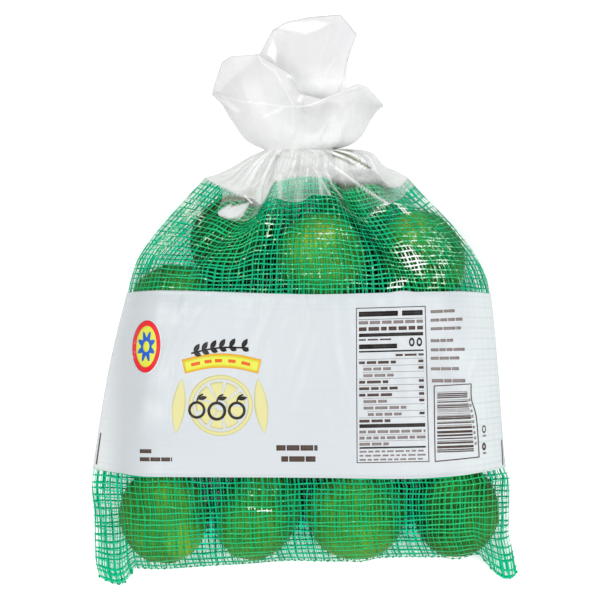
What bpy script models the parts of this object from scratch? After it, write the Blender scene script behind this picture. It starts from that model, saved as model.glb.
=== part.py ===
"""A two-pound net bag of limes, lying on its back.

A tube of green leno net holds the fruit. It is folded shut along a bottom seam whose two corners stick out
as ears. A white film band is laminated round its middle. Above the net one sheet of clear film gathers into
a pinched neck and flares out past it in three lobes, round an open mouth.

Axes: +X to the right and +Y to the neck as one reads the band, +Z up. The bag lies on its back on Z = 0,
and the origin is the middle of its footprint. Sizes are in millimetres and are scaled to metres at the end.
"""

import math
from collections import namedtuple

import bmesh
import bpy
import numpy as np

MM = 0.001

# Grid of the draped sheets: how many cells across, and how many rows in each zone from seam to neck.
COLUMNS = 40
SEAM_ROWS = 11
BAND_ROWS = 10
NET_ROWS = 12
SHOULDER_ROWS = 8

# Thickness of the soft sheets and the gaps between them. Under the band the net is held BAND_LIFT off the
# floor, so that the band has room.
NET_EDGE = 1.4
BAND_THICK = 0.5
BAND_GAP = 0.35
BAND_LIFT = 1.0
FILM_GAP = 0.4

# Plan of the bag's two long edges, as (y, x), from the seam up to the rim of the net.
LEFT_EDGE = [(-149.5, -111.0), (-142.0, -112.8), (-116.0, -113.6), (-100.0, -114.4), (-91.0, -113.4),
             (-40.0, -105.4), (3.5, -95.2), (20.0, -90.4), (32.0, -82.9), (45.0, -72.2), (65.0, -53.5)]
RIGHT_EDGE = [(-146.3, 114.4), (-137.0, 111.8), (-128.7, 109.7), (-97.0, 109.7), (-91.0, 107.5),
              (-34.5, 103.1), (3.5, 99.2), (13.7, 96.5), (24.8, 90.7), (38.7, 80.1), (46.9, 72.4),
              (65.0, 55.1)]

# Lines that run across the bag, as (share of the width, y).
SEAM_LINE = [(0.0, -149.5), (0.05, -153.8), (0.08, -150.5), (0.12, -144.8), (0.25, -143.8), (0.5, -141.0),
             (0.75, -139.5), (0.89, -137.6), (0.93, -142.0), (0.97, -150.2), (1.0, -146.3)]
BAND_LOW_LINE = [(0.0, -91.2), (0.1, -94.6), (0.5, -95.6), (0.85, -94.8), (1.0, -90.2)]
BAND_HIGH_LINE = [(0.0, 3.5), (0.1, 4.6), (0.5, 2.9), (0.9, 4.4), (1.0, 3.2)]
NET_RIM_LINE = [(0.0, 65.0), (0.17, 55.6), (0.24, 50.5), (0.28, 52.0), (0.35, 63.8), (0.5, 66.5),
                (0.58, 66.0), (0.69, 56.0), (0.84, 61.6), (0.95, 60.4), (1.0, 65.0)]

# Outline of the clear film's shoulders, as (x, y), from the net's rim to the neck.
SHOULDER_LEFT = [(-53.5, 65.0), (-47.0, 66.8), (-38.5, 70.3), (-29.4, 74.6), (-21.0, 77.3)]
SHOULDER_RIGHT = [(55.1, 65.0), (48.0, 68.8), (42.0, 71.4), (36.0, 78.0), (27.0, 80.2), (15.0, 80.6)]

# The pinched neck, a flat oval across +Y.
NECK_Y = 80.0
NECK_Z = 16.0
NECK_HALF_HEIGHT = 9.0

# The fruit, in rows from the seam up. heading turns a lime's long axis from +X towards +Y and tilt raises
# its end, both in degrees. lift is how far it is held off the floor by its neighbours.
Lime = namedtuple("Lime", "x y lift length diameter heading tilt")
LIMES = [  # fifteen, the last one small
    Lime(-76.0, -115.2, 0.0, 53.5, 47.6, -80.0, 0.0),
    Lime(-24.4, -114.5, 0.0, 53.0, 45.4, -112.0, 8.0),
    Lime(27.2, -115.0, 0.0, 54.0, 50.4, 15.0, 0.0),
    Lime(80.8, -112.7, 0.0, 53.0, 46.8, 88.0, 25.0),
    Lime(-73.8, -62.9, 0.0, 52.0, 48.5, 75.0, 10.0),
    Lime(-2.7, -68.2, 0.0, 51.0, 47.6, 150.0, 0.0),
    Lime(48.5, -68.6, 0.0, 49.5, 46.2, 40.0, -10.0),
    Lime(-70.4, -7.0, 0.0, 53.0, 48.5, 95.0, 0.0),
    Lime(-22.5, -19.5, 0.0, 50.0, 46.5, 120.0, 15.0),
    Lime(26.2, -28.6, 0.0, 51.0, 46.8, 80.0, 0.0),
    Lime(75.0, -30.4, 0.0, 50.0, 46.2, 70.0, 0.0),
    Lime(-38.4, 32.0, 0.0, 50.0, 45.5, 65.0, 0.0),
    Lime(8.8, 21.8, 10.0, 52.0, 48.6, -52.0, 20.0),
    Lime(63.2, 21.4, 4.0, 54.6, 50.6, 108.0, 0.0),
    Lime(27.0, 52.5, 0.0, 40.0, 36.0, 20.0, 0.0),
]
SUNK = 0.9  # how far the fruit's own weight presses it flat where it rests

# How the two sheets are drawn over the fruit. A stiff sheet spans a dip of twice BRIDGE_REACH cells, and
# the two shares say how much the band and the net act like one.
RELAX_PASSES = 900
BRIDGE_REACH = 6
BAND_STIFFNESS = 0.55
NET_STIFFNESS = 0.05
SIDE_HEIGHT = 15.0
EAR_HEIGHT = 2.4

# Gathers of the front sheet below the neck.
PLEATS = 8.5
CROSS_PLEATS = 5.3
PLEAT_DEPTH = 1.7

# Rim of the flared film's mouth, as (x, y, z): the front edge dips between two lobes, left to right, and the
# back edge runs under them from right to left, out to the third lobe.
MOUTH_FRONT = [
    (-50.0, 110.0, 15.0), (-49.0, 114.0, 20.0), (-44.5, 127.0, 27.0), (-39.5, 130.0, 31.0),
    (-25.0, 131.0, 32.0), (-9.0, 121.5, 28.0), (-2.0, 110.0, 24.0), (9.0, 107.5, 24.0),
    (21.5, 112.0, 29.0), (28.0, 115.3, 33.0), (33.5, 113.5, 30.0), (42.0, 104.5, 18.0),
]
MOUTH_BACK = [
    (42.0, 104.0, 13.0), (36.0, 108.0, 6.0), (22.0, 119.0, 4.5), (23.0, 130.0, 4.0), (28.0, 143.0, 8.0),
    (19.0, 153.3, 13.0), (2.0, 152.0, 11.0), (-10.0, 149.4, 12.0), (-17.5, 145.0, 9.0),
    (-25.0, 131.0, 5.0), (-37.0, 121.0, 4.5), (-47.0, 112.0, 10.0),
]
FLARE_RINGS = 8
FLARE_THICK = 0.8
FLARE_SWELL = 7.0
FLARE_PLEATS = 9
FLARE_PLEAT_DEPTH = 1.3
FLOOR_CLEAR = 1.2

NET_GREEN = (0.0, 0.36, 0.16, 1.0)
BAND_WHITE = (0.76, 0.79, 0.82, 1.0)
CLEAR_FILM = (0.86, 0.87, 0.88, 1.0)


def clear_scene():
    """Remove the objects that Blender starts with."""
    for obj in list(bpy.data.objects):
        bpy.data.objects.remove(obj, do_unlink=True)


def material(name, colour, roughness):
    """A Principled material of one colour."""
    made = bpy.data.materials.new(name)
    made.use_nodes = True
    shader = made.node_tree.nodes["Principled BSDF"]
    shader.inputs["Base Color"].default_value = colour
    shader.inputs["Roughness"].default_value = roughness
    shader.inputs["Metallic"].default_value = 0.0
    return made


def eased(points, at):
    """The height of a smooth line through (position, height) points, at each given position."""
    places, heights = np.array(points, float).T
    spans = np.diff(places)
    slopes = np.diff(heights) / spans
    turn = np.zeros(len(places))
    turn[1:-1] = np.where(slopes[:-1] * slopes[1:] > 0,
                          2 * slopes[:-1] * slopes[1:] / (slopes[:-1] + slopes[1:] + 1e-12), 0.0)
    turn[0], turn[-1] = slopes[0], slopes[-1]
    at = np.clip(np.asarray(at, float), places[0], places[-1])
    cell = np.clip(np.searchsorted(places, at, side="right") - 1, 0, len(spans) - 1)
    t = (at - places[cell]) / spans[cell]
    low, high, span = heights[cell], heights[cell + 1], spans[cell]
    return ((2 * t**3 - 3 * t**2 + 1) * low + (t**3 - 2 * t**2 + t) * span * turn[cell]
            + (3 * t**2 - 2 * t**3) * high + (t**3 - t**2) * span * turn[cell + 1])


def along(points, share):
    """A point a given share of the way along a smooth curve through points."""
    knots = np.array(points, float)
    last = len(knots) - 1
    cell = int(min(math.floor(share * last), last - 1))
    t = share * last - cell
    before, start, end, after = knots[[max(cell - 1, 0), cell, cell + 1, min(cell + 2, last)]]
    return start + 0.5 * t * (end - before + t * (2 * before - 5 * start + 4 * end - after
                                                  + t * (3 * (start - end) + after - before)))


def step_between(value, low, high):
    """0 below low, 1 above high, and a smooth ramp between them."""
    t = np.clip((value - low) / (high - low), 0.0, 1.0)
    return t * t * (3 - 2 * t)


def lime_heights(x, y, lime):
    """The lower and upper height of one lime over each plan point, and whether it lies there at all."""
    turn, rise = math.radians(lime.heading), math.radians(lime.tilt)
    axis = np.array([math.cos(turn) * math.cos(rise), math.sin(turn) * math.cos(rise), math.sin(rise)])
    across = 1 / (lime.diameter / 2) ** 2
    shape = across * np.eye(3) + (1 / (lime.length / 2) ** 2 - across) * np.outer(axis, axis)
    half_height = math.sqrt(np.linalg.inv(shape)[2, 2])
    centre = half_height - SUNK + lime.lift
    dx, dy = x - lime.x, y - lime.y
    a = shape[2, 2]
    b = shape[0, 2] * dx + shape[1, 2] * dy
    c = shape[0, 0] * dx**2 + 2 * shape[0, 1] * dx * dy + shape[1, 1] * dy**2 - 1
    inside = b * b - a * c
    there = inside > 0
    root = np.sqrt(np.where(there, inside, 0))
    return centre - (b + root) / a, centre + (root - b) / a, there


def relaxed(height, floor):
    """A sheet pulled tight: each inner point at the mean of its neighbours, but never under floor."""
    height = np.maximum(height, floor)
    for _ in range(RELAX_PASSES):
        mean = (height[:-2, 1:-1] + height[2:, 1:-1] + height[1:-1, :-2] + height[1:-1, 2:]) / 4
        height[1:-1, 1:-1] = np.maximum(mean, floor[1:-1, 1:-1])
    return height


def bridged(height):
    """The same sheet if it were stiff: any dip narrower than the reach is spanned."""
    height = height.copy()
    for _ in range(3):
        for step in range(1, BRIDGE_REACH + 1):
            across = (height[:, 2 * step:] + height[:, :-2 * step]) / 2
            height[:, step:-step] = np.maximum(height[:, step:-step], across)
            upright = (height[2 * step:] + height[:-2 * step]) / 2
            height[step:-step] = np.maximum(height[step:-step], upright)
    return height


class Drape:
    """The bag's front and back sheets on one grid, from the seam (row 0) to the neck (the last row)."""

    def __init__(self):
        self.band_low = SEAM_ROWS
        self.band_high = SEAM_ROWS + BAND_ROWS
        self.rim = self.band_high + NET_ROWS
        self.last = self.rim + SHOULDER_ROWS
        self.u = np.linspace(0.0, 1.0, COLUMNS + 1)
        self.x, self.y = self.plan()
        self.front, self.back = self.heights()

    def plan(self):
        """x and y of every grid point."""
        u = self.u
        seam, low = eased(SEAM_LINE, u), eased(BAND_LOW_LINE, u)
        high, rim = eased(BAND_HIGH_LINE, u), eased(NET_RIM_LINE, u)
        x, y = [], []
        for start, end, rows in ((seam, low, SEAM_ROWS), (low, high, BAND_ROWS), (high, rim, NET_ROWS)):
            for row in range(rows):
                line = start + (end - start) * row / rows
                x.append(self.between_edges(line[0], line[-1]))
                y.append(line)
        even_turn = (1 - np.cos(math.pi * u)) / 2
        for row in range(SHOULDER_ROWS + 1):
            share = row / SHOULDER_ROWS
            left, right = along(SHOULDER_LEFT, share), along(SHOULDER_RIGHT, share)
            across = u + (even_turn - u) * share
            x.append(left[0] + (right[0] - left[0]) * across)
            chord = left[1] + (right[1] - left[1]) * across
            wave = (rim - (rim[0] + (rim[-1] - rim[0]) * u)) * (1 - share)
            y.append(chord + wave + (NECK_Y - chord) * share ** 4)
        return np.array(x), np.array(y)

    def between_edges(self, left_y, right_y):
        """x across one row of net, whose ends lie at these heights on the two long edges."""
        left, right = eased(LEFT_EDGE, left_y), eased(RIGHT_EDGE, right_y)
        return left + (right - left) * self.u

    def edge_height(self):
        """How high the folded long edges lie, row by row."""
        y = self.y[:, 0]
        lifted = EAR_HEIGHT + (SIDE_HEIGHT - EAR_HEIGHT) * step_between(y, -140.0, -95.0)
        return lifted + (NECK_Z - SIDE_HEIGHT) * step_between(y, 40.0, 70.0)

    def heights(self):
        """The front and back heights of every grid point."""
        low = np.full(self.x.shape, 1e3)
        high = np.full(self.x.shape, -1e3)
        for lime in LIMES:
            under, over, there = lime_heights(self.x, self.y, lime)
            low = np.where(there, np.minimum(low, under), low)
            high = np.where(there, np.maximum(high, over), high)
        edge = self.edge_height()
        neck_round = np.sin(math.pi * self.u)
        rows = np.arange(self.last + 1)[:, None]
        in_band = (step_between(rows, self.band_low - 2.0, self.band_low)
                   * (1 - step_between(rows, self.band_high, self.band_high + 2.0)))
        ground = BAND_LIFT * in_band + np.zeros(self.x.shape)

        front = np.repeat(edge[:, None], COLUMNS + 1, 1) + NET_EDGE / 2
        front[0] = EAR_HEIGHT + NET_EDGE / 2
        front[-1] = NECK_Z + NET_EDGE / 2 + NECK_HALF_HEIGHT * neck_round
        back = np.repeat(edge[:, None], COLUMNS + 1, 1) - NET_EDGE / 2
        back[0] = EAR_HEIGHT - NET_EDGE / 2
        back[-1] = NECK_Z - NET_EDGE / 2 - NECK_HALF_HEIGHT * neck_round

        high[-1], low[-1] = -1e3, 1e3
        high[:, [0, -1]], low[:, [0, -1]] = -1e3, 1e3
        top = relaxed(front, high)
        under = -relaxed(-back, -np.maximum(low, ground))
        stiff = NET_STIFFNESS + (BAND_STIFFNESS - NET_STIFFNESS) * in_band
        top = top + (bridged(top) - top) * stiff
        under = np.maximum(under, ground)
        return top + self.pleats(), np.minimum(under, top - NET_EDGE)

    def pleats(self):
        """Gathers that run to the neck and fade out over the fruit and at the long edges."""
        rows = np.arange(self.last + 1)[:, None]
        grow = step_between(rows, self.rim - 6.0, self.rim + 3.0) * (1 - step_between(
            rows, self.last - 3.0, self.last - 1.0))
        fade = np.sin(math.pi * self.u) ** 0.7
        wave = np.sin(2 * math.pi * PLEATS * self.u + 0.6)
        cross_wave = 0.4 * np.sin(2 * math.pi * CROSS_PLEATS * self.u)
        return PLEAT_DEPTH * grow * fade * (wave + cross_wave)

    def point(self, column, row, upper):
        """A point of the front or the back sheet."""
        sheet = self.front if upper else self.back
        return self.x[row, column], self.y[row, column], sheet[row, column]


def add_object(name, bm, finish, smooth_angle=50.0):
    """Scale a bmesh to metres and link it as an object."""
    bmesh.ops.triangulate(bm, faces=bm.faces[:])
    bmesh.ops.scale(bm, vec=(MM, MM, MM), verts=bm.verts)
    mesh = bpy.data.meshes.new(name)
    bm.to_mesh(mesh)
    bm.free()
    mesh.shade_smooth()
    mesh.set_sharp_from_angle(angle=math.radians(smooth_angle))
    mesh.materials.append(finish)
    obj = bpy.data.objects.new(name, mesh)
    bpy.context.scene.collection.objects.link(obj)
    return obj


def pillow(drape, first, last, shift=0.0):
    """The closed solid between the two sheets, from one row to another. shift moves its first row to +Y."""
    rows = last - first
    bm = bmesh.new()
    bmesh.ops.create_grid(bm, x_segments=COLUMNS, y_segments=rows, size=0.5)
    made = bmesh.ops.extrude_face_region(bm, geom=bm.faces[:])
    upper = {v for v in made["geom"] if isinstance(v, bmesh.types.BMVert)}
    places = {}
    for vert in bm.verts:
        column, row = round((vert.co.x + 0.5) * COLUMNS), round((vert.co.y + 0.5) * rows)
        places[column, row, vert in upper] = vert
    for (column, row, is_upper), vert in places.items():
        x, y, z = drape.point(column, first + row, is_upper)
        vert.co = (x, y + (shift if row == 0 else 0.0), z)
    bmesh.ops.recalc_face_normals(bm, faces=bm.faces[:])
    return bm, places


def ring_of(places, row):
    """The points round one row of a pillow: over the front from left to right, and back underneath."""
    return ([places[column, row, True] for column in range(COLUMNS + 1)]
            + [places[column, row, False] for column in range(COLUMNS, -1, -1)])


def open_end(bm, ring):
    """Take away the end wall that a ring of points closes."""
    wall = [f for f in bm.faces if all(v in ring for v in f.verts)]
    bmesh.ops.delete(bm, geom=wall, context="FACES_ONLY")
    inner = [e for e in bm.edges if not e.link_faces]
    bmesh.ops.delete(bm, geom=inner, context="EDGES_FACES")


def net_bag(drape, finish):
    """The net with the fruit that it holds, from the seam to the net's rim."""
    bm, _ = pillow(drape, 0, drape.rim)
    return add_object("net_bag", bm, finish)


def label_band(drape, finish):
    """The film band: a thin ring laid round the net between two lines across the bag."""
    bm, places = pillow(drape, drape.band_low, drape.band_high)
    for row in (0, BAND_ROWS):
        open_end(bm, set(ring_of(places, row)))
    bm.normal_update()
    moves = {v: v.normal * (v.calc_shell_factor() * BAND_GAP) for v in bm.verts}
    for vert, move in moves.items():
        vert.co += move
    bmesh.ops.solidify(bm, geom=bm.faces[:], thickness=-BAND_THICK)
    bmesh.ops.recalc_face_normals(bm, faces=bm.faces[:])
    return add_object("label_band", bm, finish)


def mouth_point(share):
    """A point of the mouth's rim: the front edge for shares under a half, and then the back edge."""
    edge = MOUTH_FRONT + MOUTH_BACK[:1] if share < 0.5 else MOUTH_BACK + MOUTH_FRONT[:1]
    knots = np.array(edge)
    lengths = np.concatenate([[0], np.cumsum(np.linalg.norm(np.diff(knots, axis=0), axis=1))])
    place = (share % 0.5) * 2 * lengths[-1]
    return np.array([np.interp(place, lengths, knots[:, axis]) for axis in range(3)])


def flare_rings(neck):
    """The flare's outer surface, ring by ring out from the neck's own ring of points."""
    count = len(neck)
    shares = (np.arange(count) + 0.5) / count
    angles = math.pi * (1 - 2 * shares)
    mouth = np.array([mouth_point(share) for share in shares])
    sideways = np.cos(angles) * (0.62 + 0.13 * np.cos(angles))
    out = np.stack([sideways, -0.25 * np.ones(count), 0.8 * np.sin(angles)], axis=1)
    pleats = FLARE_PLEAT_DEPTH * np.sin(2 * math.pi * FLARE_PLEATS * shares)
    rings = []
    for step in range(1, FLARE_RINGS + 1):
        t = step / FLARE_RINGS
        swell = FLARE_SWELL * math.sin(math.pi * (1 - t) ** 2) + pleats * math.sin(math.pi * min(2 * t, 1.0))
        ring = neck + (mouth - neck) * t + out * swell[:, None]
        ring[:, 2] = np.maximum(ring[:, 2], FLOOR_CLEAR)
        rings.append(ring)
    return rings


def inside_of(rings, thickness):
    """The same rings moved inwards by the film's thickness."""
    sheet = np.array(rings)
    around = np.roll(sheet, -1, axis=1) - np.roll(sheet, 1, axis=1)
    outwards = np.gradient(sheet, axis=0)
    normal = np.cross(around, outwards)
    normal /= np.linalg.norm(normal, axis=2)[:, :, None]
    return list(sheet - normal * thickness)


def extrude_ring(bm, ring, points):
    """Extrude a ring of points to new places, and give back the new ring."""
    edges = [bm.edges.get((a, b)) for a, b in zip(ring, ring[1:] + ring[:1])]
    made = bmesh.ops.extrude_edge_only(bm, edges=edges)
    fresh = {v for v in made["geom"] if isinstance(v, bmesh.types.BMVert)}
    new = [next(e.other_vert(v) for e in v.link_edges if e.other_vert(v) in fresh) for v in ring]
    for vert, point in zip(new, points):
        vert.co = point
    return new


def film_top(drape, finish):
    """The clear film: shoulders that close over the fruit, the neck, and the flare round its open mouth."""
    bm, places = pillow(drape, drape.rim, drape.last, FILM_GAP)
    ring = ring_of(places, SHOULDER_ROWS)
    open_end(bm, set(ring))
    neck = np.array([v.co[:] for v in ring])
    outside = flare_rings(neck)
    inside = inside_of([neck] + outside, FLARE_THICK)
    for points in outside + inside[::-1]:
        ring = extrude_ring(bm, ring, points)
    bmesh.ops.contextual_create(bm, geom=ring)
    bmesh.ops.recalc_face_normals(bm, faces=bm.faces[:])
    return add_object("film_top", bm, finish)


def main():
    clear_scene()
    drape = Drape()
    net_bag(drape, material("net_green", NET_GREEN, 0.45))
    label_band(drape, material("band_white", BAND_WHITE, 0.3))
    film_top(drape, material("clear_film", CLEAR_FILM, 0.15))


main()
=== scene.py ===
"""The finished look of a net bag of limes that lies on its back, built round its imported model.

Every size below is in millimetres unless its comment says otherwise. +X runs to the right and +Y to the neck
as one reads the band, and +Z points up at the camera. The net, the band and the clear film are drawn over one
pair of draped sheets, whose points are found from a share across the bag and a place along it.
"""

import math
import random
from collections import namedtuple

import bmesh
import bpy
import numpy as np
from mathutils import Matrix, Vector
from mathutils.bvhtree import BVHTree


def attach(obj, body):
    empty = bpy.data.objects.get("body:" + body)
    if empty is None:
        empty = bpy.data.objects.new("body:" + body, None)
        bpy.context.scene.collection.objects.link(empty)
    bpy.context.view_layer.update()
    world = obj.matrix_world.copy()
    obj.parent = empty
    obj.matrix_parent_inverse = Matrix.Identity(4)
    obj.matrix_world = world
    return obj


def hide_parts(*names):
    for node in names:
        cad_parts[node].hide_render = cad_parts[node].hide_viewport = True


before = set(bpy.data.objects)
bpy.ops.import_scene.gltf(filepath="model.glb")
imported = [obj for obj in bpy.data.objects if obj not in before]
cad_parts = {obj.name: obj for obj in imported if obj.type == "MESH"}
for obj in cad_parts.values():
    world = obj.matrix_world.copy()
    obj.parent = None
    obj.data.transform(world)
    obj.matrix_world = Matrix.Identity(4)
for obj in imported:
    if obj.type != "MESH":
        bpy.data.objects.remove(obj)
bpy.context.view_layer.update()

bl_info = {
    "name": "Net bag of limes",
    "version": (1, 0, 0),
    "blender": (4, 5, 0),
    "location": "View3D > Sidebar > Limes",
    "description": "Dresses the packed model of a net bag of limes",
    "category": "Add Mesh",
}

MM = 0.001
PI = math.pi

# ---------------------------------------------------------------- the bag's plan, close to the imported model's

# The two long edges, as (y, x), from the seam up to the rim of the net.
LEFT_EDGE = [
    (-149.5, -111), (-142, -112.8), (-116, -113.6), (-100, -114.4), (-91, -113.4), (-40, -105.4),
    (3.5, -95.2), (20, -90.4), (32, -82.9), (45, -72.2), (65, -53.5),
]
RIGHT_EDGE = [
    (-146.3, 114.4), (-137, 111.8), (-128.7, 109.7), (-97, 109.7), (-91, 107.5), (-34.5, 103.1),
    (3.5, 99.2), (13.7, 96.5), (24.8, 90.7), (38.7, 80.1), (46.9, 72.4), (65, 55.1),
]

# Lines that run across the bag, as (share of the width, y).
SEAM_LINE = [
    (0, -149.7), (0.020, -152.1), (0.044, -153.8), (0.063, -152.6), (0.078, -147.8), (0.088, -145),
    (0.135, -145.4), (0.238, -144), (0.344, -142.5), (0.464, -140.8), (0.557, -141.2), (0.72, -138.9),
    (0.851, -138.9), (0.907, -137.4), (0.932, -144), (0.957, -148.8), (0.975, -150.7), (0.991, -150.2),
    (1, -147.3),
]
BAND_LOW_LINE = [
    (0, -91), (0.07, -92.6), (0.135, -94.1), (0.5, -94.4), (0.75, -95.1), (0.87, -94), (1, -90.2),
]
BAND_HIGH_LINE = [(0, 3.5), (0.1, 4.6), (0.5, 2.9), (0.9, 4.4), (1, 3.2)]
NET_RIM_LINE = [
    (0, 65), (0.17, 55.6), (0.24, 50.5), (0.28, 52), (0.35, 63.8), (0.5, 66.5), (0.58, 66), (0.69, 60),
    (0.84, 61.6), (0.95, 60.4), (1, 65),
]
SHOULDER_LEFT = [(-53.5, 65), (-47, 66.8), (-38.5, 70.3), (-29.4, 74.6), (-21, 77.3)]
SHOULDER_RIGHT = [(55.1, 65), (48, 68.8), (42, 71.4), (36, 78), (27, 80.2), (15, 80.6)]
# Ends of the straight line that the hem would follow without its ears.
HEM_LEFT_Y, HEM_RIGHT_Y = -145.9, -136.6
NECK_Y = 80.0
NECK_Z = 16.0
NECK_HALF_HEIGHT = 9.0

# The fruit, from the seam up. heading turns a lime's long axis from +X towards +Y and tilt raises its end, in
# degrees. ripe is how far its peel has turned from green to yellow, below 0 painted shade that darkens the
# peel, and nipple which end its tip is at.
Lime = namedtuple("Lime", "x y lift length diameter heading tilt ripe nipple")
LIMES = [
    Lime(-76, -115.2, 0, 53.5, 47.6, -80, 0, 0.30, 1),
    Lime(-25.2, -114.4, 0, 54, 44.6, -120, 8, 0.28, 1),
    Lime(27.2, -115, 0, 54, 50.4, 15, 0, 0.34, 1),
    Lime(80.8, -112.7, 0, 53, 46.8, 88, 25, 0.10, -1),
    Lime(-73.8, -62.9, 0, 52, 48.5, 75, 10, 0.26, 1),
    Lime(-2.7, -68.2, 0, 51, 47.6, 150, 0, 0.24, 1),
    Lime(48.5, -68.6, 0, 49.5, 46.2, 40, -10, 0.30, 1),
    Lime(-70.4, -7, 0, 53, 48.5, 95, 0, 0.12, 1),
    Lime(-22.5, -19.5, 0, 50, 46.5, 120, 15, 0.10, -1),
    Lime(26.2, -28.6, 0, 51, 46.8, 80, 0, 0.20, 1),
    Lime(75, -30.4, 0, 50, 46.2, 70, 0, 0.26, 1),
    # Painted shade: this lime's ripe below 0 makes its peel near-black green, for the deep shade inside the
    # bag.
    Lime(-38.4, 32, 0, 50, 45.5, 65, 0, -0.10, 1),
    Lime(8.8, 21.8, 10, 52, 48.6, -52, 20, 0.32, -1),
    Lime(62, 21.4, 4, 54.6, 48.6, 108, 0, 0.04, 1),
    Lime(27, 52.5, 0, 40, 36, 20, 0, 0.02, 1),
]
# Where the peel has turned more than the rest of its lime: x, y, reach and how much. The four just under the
# band's lower edge, at y -96 and -97, are painted light that brightens the peel where the band shades it.
TURNED_AND_LIT_PEEL = [
    (-63, -129, 12, 0.45), (11.8, -108.3, 9, 0.30), (36, -128, 16, 0.20), (-88, -126, 12, 0.15),
    (9.5, 36, 13, 0.42), (2.5, 33, 14, 0.30), (-2, 22, 16, 0.16), (53.5, 41, 14, 0.95), (66, 32, 12, 0.24),
    (84, 12, 10, 0.35), (-60, 11, 14, 0.45), (37.5, 8, 4, 0.70), (-52, -100, 10, 0.22),
    # Painted light: these four brighten the peel just under the band's lower edge, where the band shades it.
    (-76, -97, 16, 0.40), (-24, -97, 14, 0.36), (27, -97, 16, 0.26), (80, -96, 14, 0.22),
]
SUNK = 0.9

# Heights of the draped sheets.
FOLD_HALF = 0.2
FRUIT_GAP = 0.35
BACK_GAP = 0.45  # between the back sheet and the floor
BAND_LIFT = 1.0
BRIDGE_REACH = 18
COARSE_PASSES, FINE_PASSES = 500, 260
BAND_STIFFNESS = 0.55
NET_STIFFNESS = 0.05
SIDE_HEIGHT = 15.0
EAR_HEIGHT = 2.4
SHEET_COLUMNS = 160
ZONE_ROWS = (56, 64, 64, 32)  # seam to band, band, band to rim, rim to neck
PLEATS = 8.5
CROSS_PLEATS = 5.3
PLEAT_DEPTH = 1.9

# How finely each piece is cut, and how thick it is.
WARP_ROWS, FINE_ROWS = 188, 130
WEFT_COLUMNS = 290
BAND_COLUMNS, BAND_ROWS = 384, 120
FILM_COLUMNS, LAP_ROWS, TOP_ROWS, FLARE_ROWS = 400, 12, 42, 58
FLOOR_CELLS = 96
STRAND_THICK = 0.14
FILM_THICK = 0.12
INK_THICK = 0.03

# How far apart the threads lie, as (y, gap).
THREAD_GAPS = [
    (-141, 2), (-136, 2.35), (-128, 2.55), (-117, 2.75), (-108, 3.05), (-92, 3.1), (4, 2.75), (66, 2.6),
]

# Folds pressed into the front sheet above the band: x and y of both ends, half width, and height, which is
# below 0 for a dip.
Fold = namedtuple("Fold", "x0 y0 x1 y1 reach height")
FOLDS = [
    Fold(-50, 62, -92, 20, 7, 3),
    Fold(-33, 38.5, -58, 46.5, 4, 2.5),
    Fold(-17, 52, -55, 18, 6, 2.5),
    Fold(20, 54, 51, 13, 7, -4),
    Fold(30, 66, 62, 46, 5, 2.5),
    Fold(-12, 62, -8, 40, 5, -2),
]

# ---------------------------------------------------------------- the flare of the clear film

MOUTH_FRONT = [
    (-50, 110, 15), (-49, 114, 20), (-44.5, 127, 27), (-39.5, 130, 31), (-25, 131, 32), (-9, 121.5, 28),
    (-2, 110, 24), (9, 107.5, 24), (21.5, 112, 29), (28, 115.3, 33), (33.5, 113.5, 30), (42, 104.5, 18),
]
MOUTH_BACK = [
    (42, 104, 13), (36, 108, 6), (22, 119, 4.5), (23, 130, 4), (28, 143, 8), (19, 153.3, 13), (2, 152, 11),
    (-10, 149.4, 12), (-17.5, 145, 9), (-25, 131, 5), (-37, 121, 4.5), (-47, 112, 10),
]
# Outline, turning left, of the floor that the fruit covers, where no light comes up.
SHADED_FLOOR = [(-92, -119), (92, -119), (91, 0), (74, 34), (44, 58), (-18, 60), (-54, 26), (-88, 2)]

FLARE_SWELL = 7.0
FLOOR_CLEAR = 1.2

# Lower edge of the clear film's front where it laps over the net, as (share of the width, y).
FILM_LOW_LINE = [
    (0, 63), (0.08, 60), (0.12, 55), (0.14, 47.5), (0.16, 44.5), (0.20, 42.6), (0.25, 42.6), (0.285, 46),
    (0.305, 52.5), (0.339, 55), (0.416, 52.5), (0.472, 51.6), (0.529, 55.5), (0.593, 55), (0.632, 48),
    (0.665, 44), (0.705, 42.5), (0.774, 47), (0.85, 51), (0.93, 55), (1, 61),
]

# Where the net gives back the lamps' light: the middle, half length and half width of each streak.
Glare = namedtuple("Glare", "x y length width heading strength")
NET_GLARES = [
    Glare(57, 21, 13, 7, -50, 0.70), Glare(49.5, 8.5, 8, 3.5, 20, 0.62), Glare(40.1, 48, 9, 3, 35, 0.60),
    Glare(52.6, 48, 8, 2.5, -35, 0.60), Glare(-19, 38, 9, 2.4, 90, 0.50),
    Glare(-24.1, -111.6, 9, 0.8, -7, 1.1), Glare(-62, 48, 16, 8, -45, 0.45),
    Glare(14, 34, 14, 8, -10, 0.36), Glare(24, 8, 8, 7, 0, 0.26), Glare(-74, 32, 16, 7, 60, 0.42),
    Glare(-49, 32, 9, 7, 30, 0.30), Glare(70, 10, 9, 6, 40, 0.42), Glare(-24, -100, 14, 8, 0, 0.24),
    Glare(-70, 4, 14, 4, 0, 0.36), Glare(64, 24, 26, 22, 0, 0.37), Glare(10, 22, 24, 20, 0, 0.22),
    Glare(-55, 40, 30, 8, 42, 0.20),
]
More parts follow.
